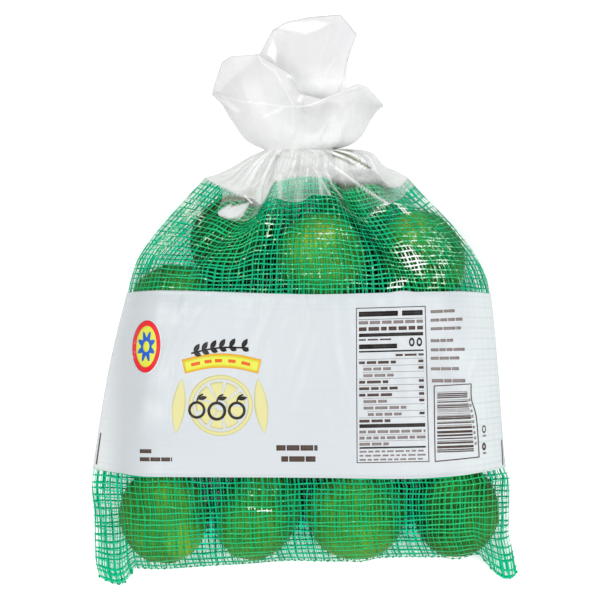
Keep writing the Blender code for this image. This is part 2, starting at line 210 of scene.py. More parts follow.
# The same on the clear film, painted into its colour: how much whiter (below 0, darker) it is there, how soft
# the rim is, and the outline, which turns left. The whiter patches are painted highlights.
FILM_PATCHES = [
    (1, 2.4, [(-15, 146.6), (-7.8, 144.9), (0.4, 143.4), (6.6, 145.4), (12.3, 148.3), (5.6, 149.5),
        (-6.8, 148.9)]),
    (0.9, 2, [(-17.3, 139.3), (-20.2, 132), (-15.7, 127.4), (-15.4, 134.1)]),
    (0.5, 2.2, [(-48.5, 109.4), (-43.8, 105.3), (-36.6, 100.4), (-34.6, 101.2), (-42.8, 107.4)]),
    (0.4, 2, [(-20.7, 98.1), (-15, 99.9), (-10.9, 102.7), (-15.5, 101.7)]),
    (0.9, 1, [(-9.4, 119.7), (-8, 118.6), (-4.6, 117.6), (-7.3, 121.8)]),
    (0.7, 1.4, [(-4.7, 106), (-1.8, 104.9), (-0.3, 110.7), (-1.8, 112.2)]),
    (0.4, 3, [(4.6, 117.3), (7.6, 113.2), (12.2, 112.2), (10.7, 116.3)]),
    (1, 1.2, [(-48.8, 44.7), (-44, 45), (-39.5, 48.8), (-39.4, 51), (-43, 49)]),
    (1, 1.2, [(-43.4, 43.2), (-38, 43.2), (-33.2, 47.8), (-33.6, 49.2), (-38.2, 47)]),
    (1, 1.2, [(-36, 42.4), (-32.6, 45.2), (-30.6, 50.8), (-33, 47)]),
    (1, 1.4, [(-49.4, 44.6), (-36.5, 43.4), (-32, 47), (-29.6, 51.6), (-38, 49.8), (-43.6, 47.6)]),
    (0.4, 5, [(-46, 61), (-36, 56.6), (-33, 59), (-40, 63)]),
    (-0.30, 2.5, [(-33.9, 57.2), (-27.6, 53.8), (-26.4, 58.2), (-32, 59.2)]),
    (0.34, 9, [(-6, 106), (6, 104), (24, 110), (22, 117), (4, 117)]),
    (-0.17, 5, [(-8, 69), (-4, 63.5), (2, 66), (3, 72), (-3, 75)]),
]
# Folds that show on the front of the flare and the shoulders: points of each, half width and how much whiter
# (below 0, darker) the film is there. The whiter lines are painted highlights along the folds, and the darker
# ones painted shade in them together with the dark peel behind the film.
FILM_FOLDS = [
    ([(-48.3, 110.3), (-34.8, 106), (-25.5, 104.9), (-11.9, 103.2), (-4.1, 103)], 0.35, 0.26),
    ([(-4.1, 103), (3, 104.1), (11.6, 107.8), (21.6, 111.7), (28, 113.4)], 0.4, 0.55),
    ([(-24.8, 131), (-22.6, 126), (-16.2, 122.4), (-11.9, 114.6), (-6.2, 103.9)], 0.4, 0.3),
    ([(-9.1, 80.3), (-3.4, 93.9), (0.2, 101)], 0.4, -0.14),
    ([(5.2, 92.5), (10.2, 81.8)], 0.5, -0.10),
    ([(12.4, 88.9), (25.2, 110.3)], 1.2, -0.05),
    ([(16.6, 130.3), (10.9, 121.7)], 0.8, 0.12),
    ([(-16, 76.8), (-5, 75.2), (5, 75.2), (11, 77.5)], 0.7, -0.16),
    ([(15.4, 81), (20, 80.6), (25.4, 79.4)], 0.5, -0.85),
    ([(15.6, 79.4), (22, 77.4), (34.8, 70.4)], 0.6, -1),
    ([(15.2, 77), (20, 75), (26.5, 71.8)], 0.5, -0.8),
    ([(24, 77.8), (30, 74.8)], 0.4, -0.7),
    ([(15.5, 80.2), (24, 78.2), (33, 73.4)], 0.35, 0.8),
    ([(15.4, 78.2), (22, 75.8), (32, 70.4)], 0.35, 0.8),
    ([(13.2, 72.8), (22, 66.4), (31.2, 59.4), (44.6, 50.8)], 0.5, 0.7),
    ([(4.6, 70.4), (9.3, 62.6), (13.2, 55.5)], 0.4, 0.6),
    ([(1.6, 70), (0.6, 63)], 0.4, 0.5),
    ([(17, 72), (28, 66.5), (40, 62)], 0.6, -0.12),
    ([(11, 71), (14, 62), (20, 54)], 0.4, 0.5),
    ([(-32.3, 55.5), (-28.4, 51.6)], 0.4, 0.9),
    ([(-50.4, 46.8), (-45.4, 52.2), (-41, 54.6), (-33.7, 53.8)], 1.3, -0.8),
    ([(-44, 67), (-30, 71.5), (-19, 75)], 0.5, 0.18),
    ([(-28, 60), (-22, 66), (-16, 74)], 0.5, 0.25),
    ([(-13.6, 66), (-13, 52)], 1.1, 0.34),
    ([(-4.4, 66), (-3, 53)], 1.8, 0.16),
    ([(7.4, 66), (9, 56)], 1, 0.34),
    ([(-4.5, 64), (-3.4, 70), (-3, 74)], 0.4, -0.3),
    ([(-9, 64.5), (-6.4, 70), (-5, 74)], 0.4, 0.3),
]


# ================================================================ shared curves and sheets

def eased(points, at):
    """The height of a smooth line through (position, height) points, at each given position."""
    places, heights = np.array(points, float).T
    spans = np.diff(places)
    slopes = np.diff(heights) / spans
    turn = np.zeros(len(places))
    turn[1:-1] = np.where(slopes[:-1] * slopes[1:] > 0,
                          2 * slopes[:-1] * slopes[1:] / (slopes[:-1] + slopes[1:] + 1e-12), 0.0)
    turn[0], turn[-1] = slopes[0], slopes[-1]
    at = np.clip(np.asarray(at, float), places[0], places[-1])
    cell = np.clip(np.searchsorted(places, at, side="right") - 1, 0, len(spans) - 1)
    t = (at - places[cell]) / spans[cell]
    low, high, span = heights[cell], heights[cell + 1], spans[cell]
    return ((2 * t**3 - 3 * t**2 + 1) * low + (t**3 - 2 * t**2 + t) * span * turn[cell]
            + (3 * t**2 - 2 * t**3) * high + (t**3 - t**2) * span * turn[cell + 1])


def along(points, share):
    """Points a given share of the way along a smooth curve through points."""
    knots = np.array(points, float)
    last = len(knots) - 1
    share = np.asarray(share, float)
    cell = np.clip(np.floor(share * last).astype(int), 0, last - 1)
    t = (share * last - cell)[..., None]
    before, start = knots[np.maximum(cell - 1, 0)], knots[cell]
    end, after = knots[cell + 1], knots[np.minimum(cell + 2, last)]
    return start + 0.5 * t * (end - before + t * (2 * before - 5 * start + 4 * end - after
                                                  + t * (3 * (start - end) + after - before)))


def step_between(value, low, high):
    """0 below low, 1 above high, and a smooth ramp between them."""
    t = np.clip((value - low) / (high - low), 0.0, 1.0)
    return t * t * (3 - 2 * t)


def under_band(v, fade):
    """1 between the band's two edges, fading to 0 beyond them."""
    return step_between(v, 1 - fade, 1.0) * (1 - step_between(v, 2.0, 2 + fade))


def lime_frame(lime):
    """A lime's centre and the direction of its long axis."""
    turn, rise = math.radians(lime.heading), math.radians(lime.tilt)
    axis = np.array([math.cos(turn) * math.cos(rise), math.sin(turn) * math.cos(rise), math.sin(rise)])
    reach = (lime.length / 2 * axis[2]) ** 2 + (lime.diameter / 2) ** 2 * (1 - axis[2] ** 2)
    return np.array([lime.x, lime.y, math.sqrt(reach) - SUNK + lime.lift]), axis


def lime_heights(x, y, lime, spare):
    """The lower and upper height of one lime over each plan point, and whether it lies there at all."""
    centre, axis = lime_frame(lime)
    across = 1 / (lime.diameter / 2 + spare) ** 2
    shape = across * np.eye(3) + (1 / (lime.length / 2 + spare) ** 2 - across) * np.outer(axis, axis)
    dx, dy = x - lime.x, y - lime.y
    a = shape[2, 2]
    b = shape[0, 2] * dx + shape[1, 2] * dy
    c = shape[0, 0] * dx**2 + 2 * shape[0, 1] * dx * dy + shape[1, 1] * dy**2 - 1
    inside = b * b - a * c
    root = np.sqrt(np.maximum(inside, 0))
    return centre[2] - (b + root) / a, centre[2] + (root - b) / a, inside > 0


def relaxed(height, floor, passes):
    """A sheet pulled tight: each inner point at the mean of its neighbours, but never under floor."""
    height = np.maximum(height, floor)
    for _ in range(passes):
        mean = (height[:-2, 1:-1] + height[2:, 1:-1] + height[1:-1, :-2] + height[1:-1, 2:]) / 4
        height[1:-1, 1:-1] = np.maximum(mean, floor[1:-1, 1:-1])
    return height


def bridged(height):
    """The same sheet if it were stiff: any dip narrower than the reach is spanned."""
    height = height.copy()
    for _ in range(3):
        for step in range(1, BRIDGE_REACH + 1, 2):
            across = (height[:, 2 * step:] + height[:, :-2 * step]) / 2
            height[:, step:-step] = np.maximum(height[:, step:-step], across)
            upright = (height[2 * step:] + height[:-2 * step]) / 2
            height[step:-step] = np.maximum(height[step:-step], upright)
    return height


def from_line(x, y, x0, y0, x1, y1):
    """How far points lie from a straight line between two ends, how far along it, and the way to it."""
    dx, dy = x1 - x0, y1 - y0
    share = ((x - x0) * dx + (y - y0) * dy) / (dx * dx + dy * dy)
    to_x = x0 + np.clip(share, 0, 1) * dx - x
    to_y = y0 + np.clip(share, 0, 1) * dy - y
    away = np.hypot(to_x, to_y)
    return away, share, (to_x / np.maximum(away, 1e-6), to_y / np.maximum(away, 1e-6))


def fold_heights(x, y):
    """How far the sharp folds above the band raise or sink the front sheet."""
    total = np.zeros(np.shape(x))
    for fold in FOLDS:
        away, share, _ = from_line(x, y, *fold[:4])
        ends = np.clip(np.minimum(share, 1 - share) * 4 + 0.6, 0, 1)
        total += fold.height * np.clip(1 - away / fold.reach, 0, 1) * ends
    return total


class Drape:
    """The bag's front and back sheets. u is the share across, from 0 at the left to 1 at the right. v is the
    place along: 0 at the seam, 1 and 2 at the band's edges, 3 at the net's rim and 4 at the neck."""

    def __init__(self):
        zones = [zone + np.arange(rows) / rows for zone, rows in enumerate(ZONE_ROWS)]
        self.v = np.concatenate(zones + [[4.0]])
        self.u = np.linspace(0.0, 1.0, SHEET_COLUMNS + 1)
        self.front, self.back = self.sheets()
        self.spacing()

    def plan(self, u, v):
        """x and y for arrays of u and v."""
        u, v = np.broadcast_arrays(np.asarray(u, float), np.asarray(v, float))
        lines = [eased(line, u) for line in (SEAM_LINE, BAND_LOW_LINE, BAND_HIGH_LINE, NET_RIM_LINE)]
        zone = np.clip(v.astype(int), 0, 3)
        t = v - zone
        start = np.choose(zone, lines)
        y = start + (np.choose(np.minimum(zone + 1, 3), lines) - start) * t
        hang = lines[0] - (HEM_LEFT_Y + (HEM_RIGHT_Y - HEM_LEFT_Y) * u)
        y = y + np.where(zone == 0, hang * ((1 - t) ** 3 - (1 - t)), 0.0)
        ends = []
        for side, edge in ((0, LEFT_EDGE), (-1, RIGHT_EDGE)):
            knots = [line[side][1] for line in (SEAM_LINE, BAND_LOW_LINE, BAND_HIGH_LINE, NET_RIM_LINE)]
            ends.append(eased(edge, np.interp(np.minimum(v, 3), range(4), knots)))
        x = ends[0] + (ends[1] - ends[0]) * u

        share = np.clip(v - 3, 0, 1)
        left, right = along(SHOULDER_LEFT, share), along(SHOULDER_RIGHT, share)
        across = u * (1 - share) + (1 - np.cos(PI * u)) / 2 * share
        rim = lines[3]
        rim_chord = NET_RIM_LINE[0][1] + (NET_RIM_LINE[-1][1] - NET_RIM_LINE[0][1]) * u
        chord = left[..., 1] + (right[..., 1] - left[..., 1]) * across
        above = chord + (rim - rim_chord) * (1 - share) + (NECK_Y - chord) * share ** 4
        film = v >= 3
        return (np.where(film, left[..., 0] + (right[..., 0] - left[..., 0]) * across, x),
                np.where(film, above, y))

    def sheets(self):
        """The front and back heights at every grid point, worked out on coarse grids first."""
        front = back = None
        for skip in (8, 4, 2, 1):
            u, v = self.u[::skip], self.v[::skip]
            x, y = self.plan(u[None, :], v[:, None])
            start = None
            if front is not None:
                start = [np.repeat(np.repeat(sheet, 2, 0), 2, 1)[:len(v), :len(u)] for sheet in (front, back)]
            front, back, ground = self.drawn(u, v, x, y, start, COARSE_PASSES if skip > 1 else FINE_PASSES)
        stiff = (NET_STIFFNESS + (BAND_STIFFNESS - NET_STIFFNESS) * under_band(v, 0.15))[:, None]
        front = front + (bridged(front) - front) * stiff
        front = front + np.where(v[:, None] > 2.0, fold_heights(x, y), 0.0)
        front = np.maximum(front, self.fruit_top(x, y) + 0.1)
        front[:, [0, -1]] = self.edge(v)[:, None] + FOLD_HALF
        front = front + self.pleats(u, v)
        back = np.maximum(back, ground)
        return front, np.minimum(back, front - FOLD_HALF)

    def fruit_span(self, x, y, spare=0.0):
        """The fruit's lower and upper height over each plan point. Where there is none, low is above high."""
        low, high = np.full(x.shape, 1e3), np.full(x.shape, -1e3)
        for lime in LIMES:
            under, over, there = lime_heights(x, y, lime, spare)
            low = np.where(there, np.minimum(low, under), low)
            high = np.where(there, np.maximum(high, over), high)
        return low, high

    def fruit_top(self, x, y):
        """The height of the fruit over each plan point, or far below where there is none."""
        return self.fruit_span(x, y)[1]

    def drawn(self, u, v, x, y, start, passes):
        """Both sheets pulled tight over the fruit on one grid."""
        low, high = self.fruit_span(x, y, FRUIT_GAP)
        ground = (BAND_LIFT * under_band(v, 0.15))[:, None] + BACK_GAP + np.zeros(x.shape)
        low[-1], high[-1] = 1e3, -1e3
        low[:, [0, -1]], high[:, [0, -1]] = 1e3, -1e3
        edge = self.edge(v)
        neck_round = NECK_HALF_HEIGHT * np.sin(PI * u)
        made = []
        for sign, sheet in ((1, 0), (-1, 1)):
            height = np.repeat(edge[:, None], len(u), 1) + sign * FOLD_HALF if start is None else start[sheet]
            height[:, [0, -1]] = edge[:, None] + sign * FOLD_HALF
            height[0] = EAR_HEIGHT + sign * FOLD_HALF
            height[-1] = NECK_Z + sign * (FOLD_HALF + neck_round)
            made.append(height)
        front = relaxed(made[0], high, passes)
        back = -relaxed(-made[1], -np.maximum(low, ground), passes)
        return front, back, ground

    def edge(self, v):
        """How high the folded long edges lie."""
        y = self.plan(np.zeros(np.shape(v)), v)[1]
        lifted = EAR_HEIGHT + (SIDE_HEIGHT - EAR_HEIGHT) * step_between(y, -140.0, -95.0)
        return lifted + (NECK_Z - SIDE_HEIGHT) * step_between(y, 40.0, 70.0)

    def pleats(self, u, v):
        """Gathers that run to the neck and fade out over the fruit and at the long edges."""
        grow = step_between(v, 2.45, 3.2) * (1 - step_between(v, 3.8, 4.0))
        wave = np.sin(2 * PI * PLEATS * u + 0.6) + 0.4 * np.sin(2 * PI * CROSS_PLEATS * u)
        fine = 0.35 * np.abs(np.sin(PI * 23.5 * u + 1.1))
        return PLEAT_DEPTH * grow[:, None] * (np.sin(PI * u) ** 0.7 * (wave + fine))[None, :]

    def height(self, u, v, sheet):
        """The height of the front (0) or back (1) sheet at arrays of u and v."""
        field = (self.front, self.back)[sheet]
        column = np.clip(u, 0, 1) * SHEET_COLUMNS
        row = np.interp(v, self.v, np.arange(len(self.v)))
        c = np.clip(column.astype(int), 0, SHEET_COLUMNS - 1)
        r = np.clip(row.astype(int), 0, len(self.v) - 2)
        a, b = column - c, row - r
        return ((field[r, c] * (1 - a) + field[r, c + 1] * a) * (1 - b)
                + (field[r + 1, c] * (1 - a) + field[r + 1, c + 1] * a) * b)

    def place(self, s, v):
        """Points round the tube: s runs over the front from 0 to 1, and back underneath from 1 to 2."""
        s, v = np.broadcast_arrays(np.asarray(s, float) % 2, np.asarray(v, float))
        u = np.where(s <= 1, s, 2 - s)
        x, y = self.plan(u, v)
        z = np.where(s <= 1, self.height(u, v, 0), self.height(u, v, 1))
        free = np.where(s <= 1, np.clip(12 * np.minimum(u, 1 - u), 0, 1), 0.0)
        for fold in FOLDS:
            away, _, side = from_line(x, y, *fold[:4])
            pull = free * 0.45 * away * np.clip(1 - away / (1.6 * fold.reach), 0, 1)
            x, y = x + side[0] * pull, y + side[1] * pull
        z = np.where(free > 0, np.maximum(z, self.fruit_top(x, y) + 0.15), z)
        return np.stack([x, y, z], axis=-1)

    def outward(self, s, v):
        """The tube's outward direction."""
        step = 0.004
        side = self.place(s + step, v) - self.place(s - step, v)
        up = self.place(s, np.minimum(v + step, 3.999)) - self.place(s, np.maximum(v - step, 0.001))
        normal = np.cross(side, up)
        return normal / np.maximum(np.linalg.norm(normal, axis=-1, keepdims=True), 1e-9)

    def spacing(self):
        """Count the threads between the seam and each place along the net, closer near the seam."""
        v = np.linspace(0.0, 3.0, 600)
        y = self.plan(np.full(600, 0.5), v)[1]
        gap = np.interp((y[1:] + y[:-1]) / 2, *zip(*THREAD_GAPS))
        self.thread_v = v
        self.thread_run = np.concatenate([[0.0], np.cumsum(np.diff(y) / gap)])

    def at_run(self, share):
        """v at a share of the way along the net."""
        return np.interp(share * self.thread_run[-1], self.thread_run, self.thread_v)

    def gathered(self, s, v):
        """Where a tape at an even share round the tube really runs: closer to the sides behind the band, and
        a little closer to the middle at the rim."""
        bunched = step_between(v, 0.6, 2.0) - 1.3 * step_between(v, 2.2, 3.0)
        return s - bunched * (0.03 * np.sin(2 * PI * s) + 0.02 * np.sin(4 * PI * s))

    def beside(self, s, v):
        """1 in the flat net at the sides below the band, where the strands are broader, and 0 elsewhere."""
        away = np.minimum(s % 1, 1 - s % 1)
        return (1 - step_between(away, 0.04, 0.09)) * (v < 1)

    def out_of_step(self, s):
        """1 on the back sheet, whose strands lie between the front's, and 0 on the front and at the folds."""
        return np.clip(6 * np.minimum(s % 2 - 1, 2 - s % 2), 0, 1)

    def pace(self, s, v):
        """How many millimetres of the plan one unit of v covers there."""
        u = 1 - np.abs(1 - s % 2)
        low, high = np.maximum(v - 0.01, 0.0), np.minimum(v + 0.01, 2.999)
        return np.hypot(*(np.array(self.plan(u, high)) - np.array(self.plan(u, low)))) / (high - low)

    def width(self, v):
        """The bag's width in the plan."""
        return self.plan(np.ones(np.shape(v)), v)[0] - self.plan(np.zeros(np.shape(v)), v)[0]


# ================================================================ mesh helpers

def grid(columns, rows, place, ring=False, keep=None):
    """A bmesh grid. place is given every point's column and row, and gives their places and the numbers that
    they keep by name. keep is given each face's column and row and says which faces stay."""
    bm = bmesh.new()
    bmesh.ops.create_grid(bm, x_segments=columns, y_segments=rows, size=0.5)
    flat = np.array([v.co[:2] for v in bm.verts])
    column = np.rint((flat[:, 0] + 0.5) * columns).astype(int)
    row = np.rint((flat[:, 1] + 0.5) * rows).astype(int)
    if keep is not None:
        spare = []
        for face in bm.faces:
            middle = face.calc_center_median()
            at = int((middle.x + 0.5) * columns), int((middle.y + 0.5) * rows)
            if not keep(*at):
                spare.append(face)
    points, values = place(column, row)
    for vert, point in zip(bm.verts, points):
        vert.co = point
    for name, numbers in values.items():
        layer = bm.verts.layers.float.new(name)
        for vert, number in zip(bm.verts, numbers):
            vert[layer] = number
    if keep is not None:
        bmesh.ops.delete(bm, geom=spare, context="FACES")
    if ring:
        seam = [v for v in bm.verts if v.is_boundary]
        bmesh.ops.remove_doubles(bm, verts=seam, dist=1e-4)
    return bm


def to_object(name, bm, materials):
    """Turn a bmesh in millimetres into an object of the scene."""
    bmesh.ops.scale(bm, vec=(MM, MM, MM), verts=bm.verts)
    mesh = bpy.data.meshes.new(name)
    bm.to_mesh(mesh)
    bm.free()
    for material in materials:
        mesh.materials.append(material)
    made = bpy.data.objects.new(name, mesh)
    bpy.context.scene.collection.objects.link(made)
    return made


def piece(name, bm, materials, node):
    """Turn a bmesh in millimetres into a finished smooth piece that rides on the bag in place of a solid."""
    made = to_object(name, bm, materials)
    made.data.shade_smooth()
    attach(made, "root")
    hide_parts(node)
    return made


def thicken(made, thickness, offset=0.0):
    """Give a sheet its real thickness, in millimetres."""
    wall = made.modifiers.new("Thickness", "SOLIDIFY")
    wall.thickness = thickness * MM
    wall.offset = offset
    return made


# ================================================================ materials

class Nodes:
    """Short calls for building one node tree."""

    def __init__(self, tree):
        self.tree = tree

    def add(self, kind, **values):
        """Add a node. Capitalised or numbered names set its sockets, and the others its properties."""
        node = self.tree.nodes.new(kind)
        for name, value in values.items():
            socket = name.replace("_", " ")
            if name[0].isupper() and socket in node.inputs:
                self.feed(node.inputs[socket], value)
            elif name.startswith("in") and name[2:].isdigit():
                self.feed(node.inputs[int(name[2:])], value)
            else:
                setattr(node, name, value)
        return node

    def feed(self, socket, value):
        if isinstance(value, bpy.types.NodeSocket):
            self.tree.links.new(value, socket)
        else:
            socket.default_value = value

    def math(self, operation, a, b=0.0, clamp=False):
        return self.add("ShaderNodeMath", operation=operation, in0=a, in1=b, use_clamp=clamp).outputs[0]

    def mix(self, factor, a, b):
        node = self.add("ShaderNodeMix", data_type="RGBA")
        self.feed(node.inputs[0], factor)
        self.feed(node.inputs[6], a)
        self.feed(node.inputs[7], b)
        return node.outputs[2]

    def ramp(self, value, low, high, to_low=0.0, to_high=1.0):
        node = self.add("ShaderNodeMapRange", Value=value)
        for name, number in (("From Min", low), ("From Max", high), ("To Min", to_low), ("To Max", to_high)):
            node.inputs[name].default_value = number
        node.clamp = True
        return node.outputs[0]

    def value(self, name):
        return self.add("ShaderNodeAttribute", attribute_name=name).outputs["Fac"]

    def place(self):
        return self.add("ShaderNodeTexCoord").outputs["Object"]


def group(name, inputs, outputs, build):
    """A shader node group, made once. inputs gives its named numbers and their defaults."""
    if name in bpy.data.node_groups:
        return bpy.data.node_groups[name]
    tree = bpy.data.node_groups.new(name, "ShaderNodeTree")
    for label, default in inputs.items():
        socket = tree.interface.new_socket(label, in_out="INPUT", socket_type="NodeSocketFloat")
        socket.default_value = default
    for label in outputs:
        tree.interface.new_socket(label, in_out="OUTPUT", socket_type="NodeSocketFloat")
    made = Nodes(tree)
    build(made, made.add("NodeGroupInput").outputs, made.add("NodeGroupOutput").inputs)
    return tree


def use_group(nodes, tree, **values):
    """Place a node group in a material."""
    node = nodes.add("ShaderNodeGroup", node_tree=tree)
    for name, value in values.items():
        nodes.feed(node.inputs[name.replace("_", " ")], value)
    return node


def mottle_group():
    """Soft blotches and fine grain, both from 0 to 1, for any surface."""
    def build(n, given, out):
        place = n.place()
        soft = n.add("ShaderNodeTexNoise", Vector=place, Scale=given["Blotch Scale"], Detail=3.0)
        fine = n.add("ShaderNodeTexNoise", Vector=place, Scale=given["Grain Scale"], Detail=2.0)
        n.feed(out["Blotch"], n.ramp(soft.outputs["Fac"], 0.32, 0.68))
        n.feed(out["Grain"], n.ramp(fine.outputs["Fac"], 0.3, 0.7))
    return group("Mottle", {"Blotch Scale": 40.0, "Grain Scale": 900.0}, ("Blotch", "Grain"), build)


def crinkle_group():
    """The fine set creases of handled film, as a height for a bump."""
    def build(n, given, out):
        place = n.place()
        bend = n.add("ShaderNodeTexNoise", Vector=place, Scale=given["Scale"], Detail=2.0)
        shift = n.add("ShaderNodeVectorMath", operation="SCALE", in0=bend.outputs["Color"])
        shift.inputs["Scale"].default_value = 0.012
        moved = n.add("ShaderNodeVectorMath", operation="ADD", in0=place, in1=shift.outputs[0])
        cells = n.add("ShaderNodeTexVoronoi", feature="DISTANCE_TO_EDGE", Vector=moved.outputs[0],
                      Scale=given["Scale"])
        crease = n.ramp(cells.outputs["Distance"], 0.0, 0.22)
        soft = n.add("ShaderNodeTexNoise", Vector=place, Scale=given["Scale"], Detail=4.0)
        n.feed(out["Height"], n.math("ADD", n.math("MULTIPLY", crease, 0.5), soft.outputs["Fac"]))
        n.feed(out["Crease"], n.math("SUBTRACT", 1.0, crease))
    return group("Crinkle", {"Scale": 60.0}, ("Height", "Crease"), build)


def new_material(name, **plain):
    """A Principled material with its uniform values set on the shader."""
    made = bpy.data.materials.new(name)
    made.use_nodes = True
    shader = made.node_tree.nodes["Principled BSDF"]
    for label, value in plain.items():
        shader.inputs[label.replace("_", " ")].default_value = value
    return made, Nodes(made.node_tree), shader


def bump(nodes, shader, height, strength, distance):
    """Feed a height to the shader's normal."""
    node = nodes.add("ShaderNodeBump", Height=height)
    node.inputs["Strength"].default_value = strength
    node.inputs["Distance"].default_value = distance
    nodes.feed(shader.inputs["Normal"], node.outputs[0])


def tape_material(name, colour, pale, on_peel, roughness):
    """Drawn polythene tape: streaked along its length, greener on the peel, and white where it gives back a
    lamp."""
    made, n, shader = new_material(name, Specular_IOR_Level=0.06)
    mottle = use_group(n, mottle_group(), Blotch_Scale=330.0, Grain_Scale=1500.0)
    tone = n.mix(n.math("MULTIPLY", mottle.outputs["Blotch"], 0.6), colour, pale)
    bright = n.mix(n.math("MULTIPLY", mottle.outputs["Blotch"], 0.35), on_peel, pale)
    tone = n.mix(n.math("MULTIPLY", n.value("peel_contact_and_backlight"), 0.85, clamp=True), tone, bright)
    # Painted light: below 0 the strands turn a paler, brighter teal over the glowing floor, palest between the
    # limes at the seam.
    tone = n.mix(n.math("MULTIPLY", n.value("peel_contact_and_backlight"), -0.8, clamp=True), tone, (0.0, 0.60, 0.31, 1.0))
    tone = n.mix(n.ramp(n.value("peel_contact_and_backlight"), -2.0, -1.0, 1.0, 0.0), tone, (0.0, 0.66, 0.34, 1.0))
    patchy = n.math("MULTIPLY", mottle.outputs["Blotch"], 0.5)
    patchy = n.math("ADD", patchy, n.math("MULTIPLY", mottle.outputs["Grain"], 0.5))
    spark = n.math("SUBTRACT", n.math("MULTIPLY", n.value("shine"), 1.35), patchy)
    tone = n.mix(n.ramp(spark, -0.08, 0.12), tone, (0.33, 0.72, 0.38, 1.0))
    tone = n.mix(n.ramp(spark, 0.08, 0.30), tone, (0.93, 0.98, 0.95, 1.0))
    shaded = n.math("MULTIPLY", n.value("shine"), -1.0, clamp=True)
    n.feed(shader.inputs["Base Color"], n.mix(shaded, tone, (0.001, 0.006, 0.001, 1.0)))
    n.feed(shader.inputs["Roughness"], n.ramp(mottle.outputs["Grain"], 0.0, 1.0, roughness, roughness + 0.12))
    bump(n, shader, mottle.outputs["Grain"], 0.25, 0.0001)
    return made


def peel_material(look):
    """Lime peel: green that turns yellow in patches, with oil glands under a wax."""
    made, n, shader = new_material("lime_peel", Specular_IOR_Level=0.05)
    place = n.place()
    mottle = use_group(n, mottle_group(), Blotch_Scale=55.0, Grain_Scale=420.0)
    turned = n.math("ADD", n.value("ripe"), n.ramp(mottle.outputs["Blotch"], 0.0, 1.0, -0.12, 0.12))
    turned = n.math("ADD", turned, n.ramp(mottle.outputs["Grain"], 0.0, 1.0, -0.07, 0.07))
    glands = n.add("ShaderNodeTexVoronoi", Vector=place, Scale=620.0)
    pore = n.ramp(glands.outputs["Distance"], 0.05, 0.45)
    # Below 0, ripe takes the peel to the dark peel: painted shade. The peel lightened under the band's lower
    # edge is painted light.
    body = n.mix(n.ramp(turned, -0.05, 0.30), look.peel_dark, look.peel_green)
    body = n.mix(n.ramp(turned, 0.30, 0.75), body, look.peel_yellow)
    body = n.mix(n.ramp(turned, 0.75, 1.15), body, look.peel_golden)
    pit = n.math("MULTIPLY", n.math("SUBTRACT", 1.0, pore), 0.3)
    body = n.mix(pit, body, look.peel_dark)
    n.feed(shader.inputs["Base Color"], n.mix(n.value("scar"), body, (0.16, 0.12, 0.05, 1.0)))
    n.feed(shader.inputs["Roughness"], n.ramp(mottle.outputs["Grain"], 0.0, 1.0, 0.46, 0.6))
    relief = n.math("ADD", pore, n.math("MULTIPLY", mottle.outputs["Blotch"], 0.6))
    bump(n, shader, relief, 0.3, 0.0004)
    return made


def band_material(look):
    """Printed white film: opaque in the middle, milky and see-through towards the sides."""
    made, n, shader = new_material("band_film", Specular_IOR_Level=0.35, Coat_Weight=0.08, Coat_Roughness=0.3)
    mottle = use_group(n, mottle_group(), Blotch_Scale=26.0, Grain_Scale=420.0)
    crinkle = use_group(n, crinkle_group(), Scale=38.0)
    printed = n.value("printed")
    white = n.mix(n.math("MULTIPLY", mottle.outputs["Blotch"], 0.35), look.band_colour, look.band_shade)
    weave = n.math("MULTIPLY", n.value("weave"), n.ramp(mottle.outputs["Blotch"], 0.0, 1.0, 0.3, 1.0))
    tone = n.mix(printed, look.band_milky, white)
    n.feed(shader.inputs["Base Color"], n.mix(weave, tone, (0.30, 0.52, 0.47, 1.0)))
    n.feed(shader.inputs["Alpha"], n.ramp(printed, 0.0, 1.0, 0.74, 1.0))
    n.feed(shader.inputs["Roughness"], n.ramp(mottle.outputs["Grain"], 0.0, 1.0, 0.36, 0.5))
    bump(n, shader, crinkle.outputs["Height"], 0.35, 0.0009)
    return made


def ink_material(name, colour):
    """Ink on film, a little uneven where it lies over the creases."""
    made, n, shader = new_material(name, Specular_IOR_Level=0.12)
    mottle = use_group(n, mottle_group(), Blotch_Scale=90.0, Grain_Scale=800.0)
    faded = tuple(c + (1.0 - c) * 0.06 for c in colour[:3]) + (1.0,)
    uneven = n.math("MULTIPLY", mottle.outputs["Blotch"], 0.6)
    n.feed(shader.inputs["Base Color"], n.mix(uneven, colour, faded))
    n.feed(shader.inputs["Roughness"], n.ramp(mottle.outputs["Grain"], 0.0, 1.0, 0.32, 0.5))
    return made


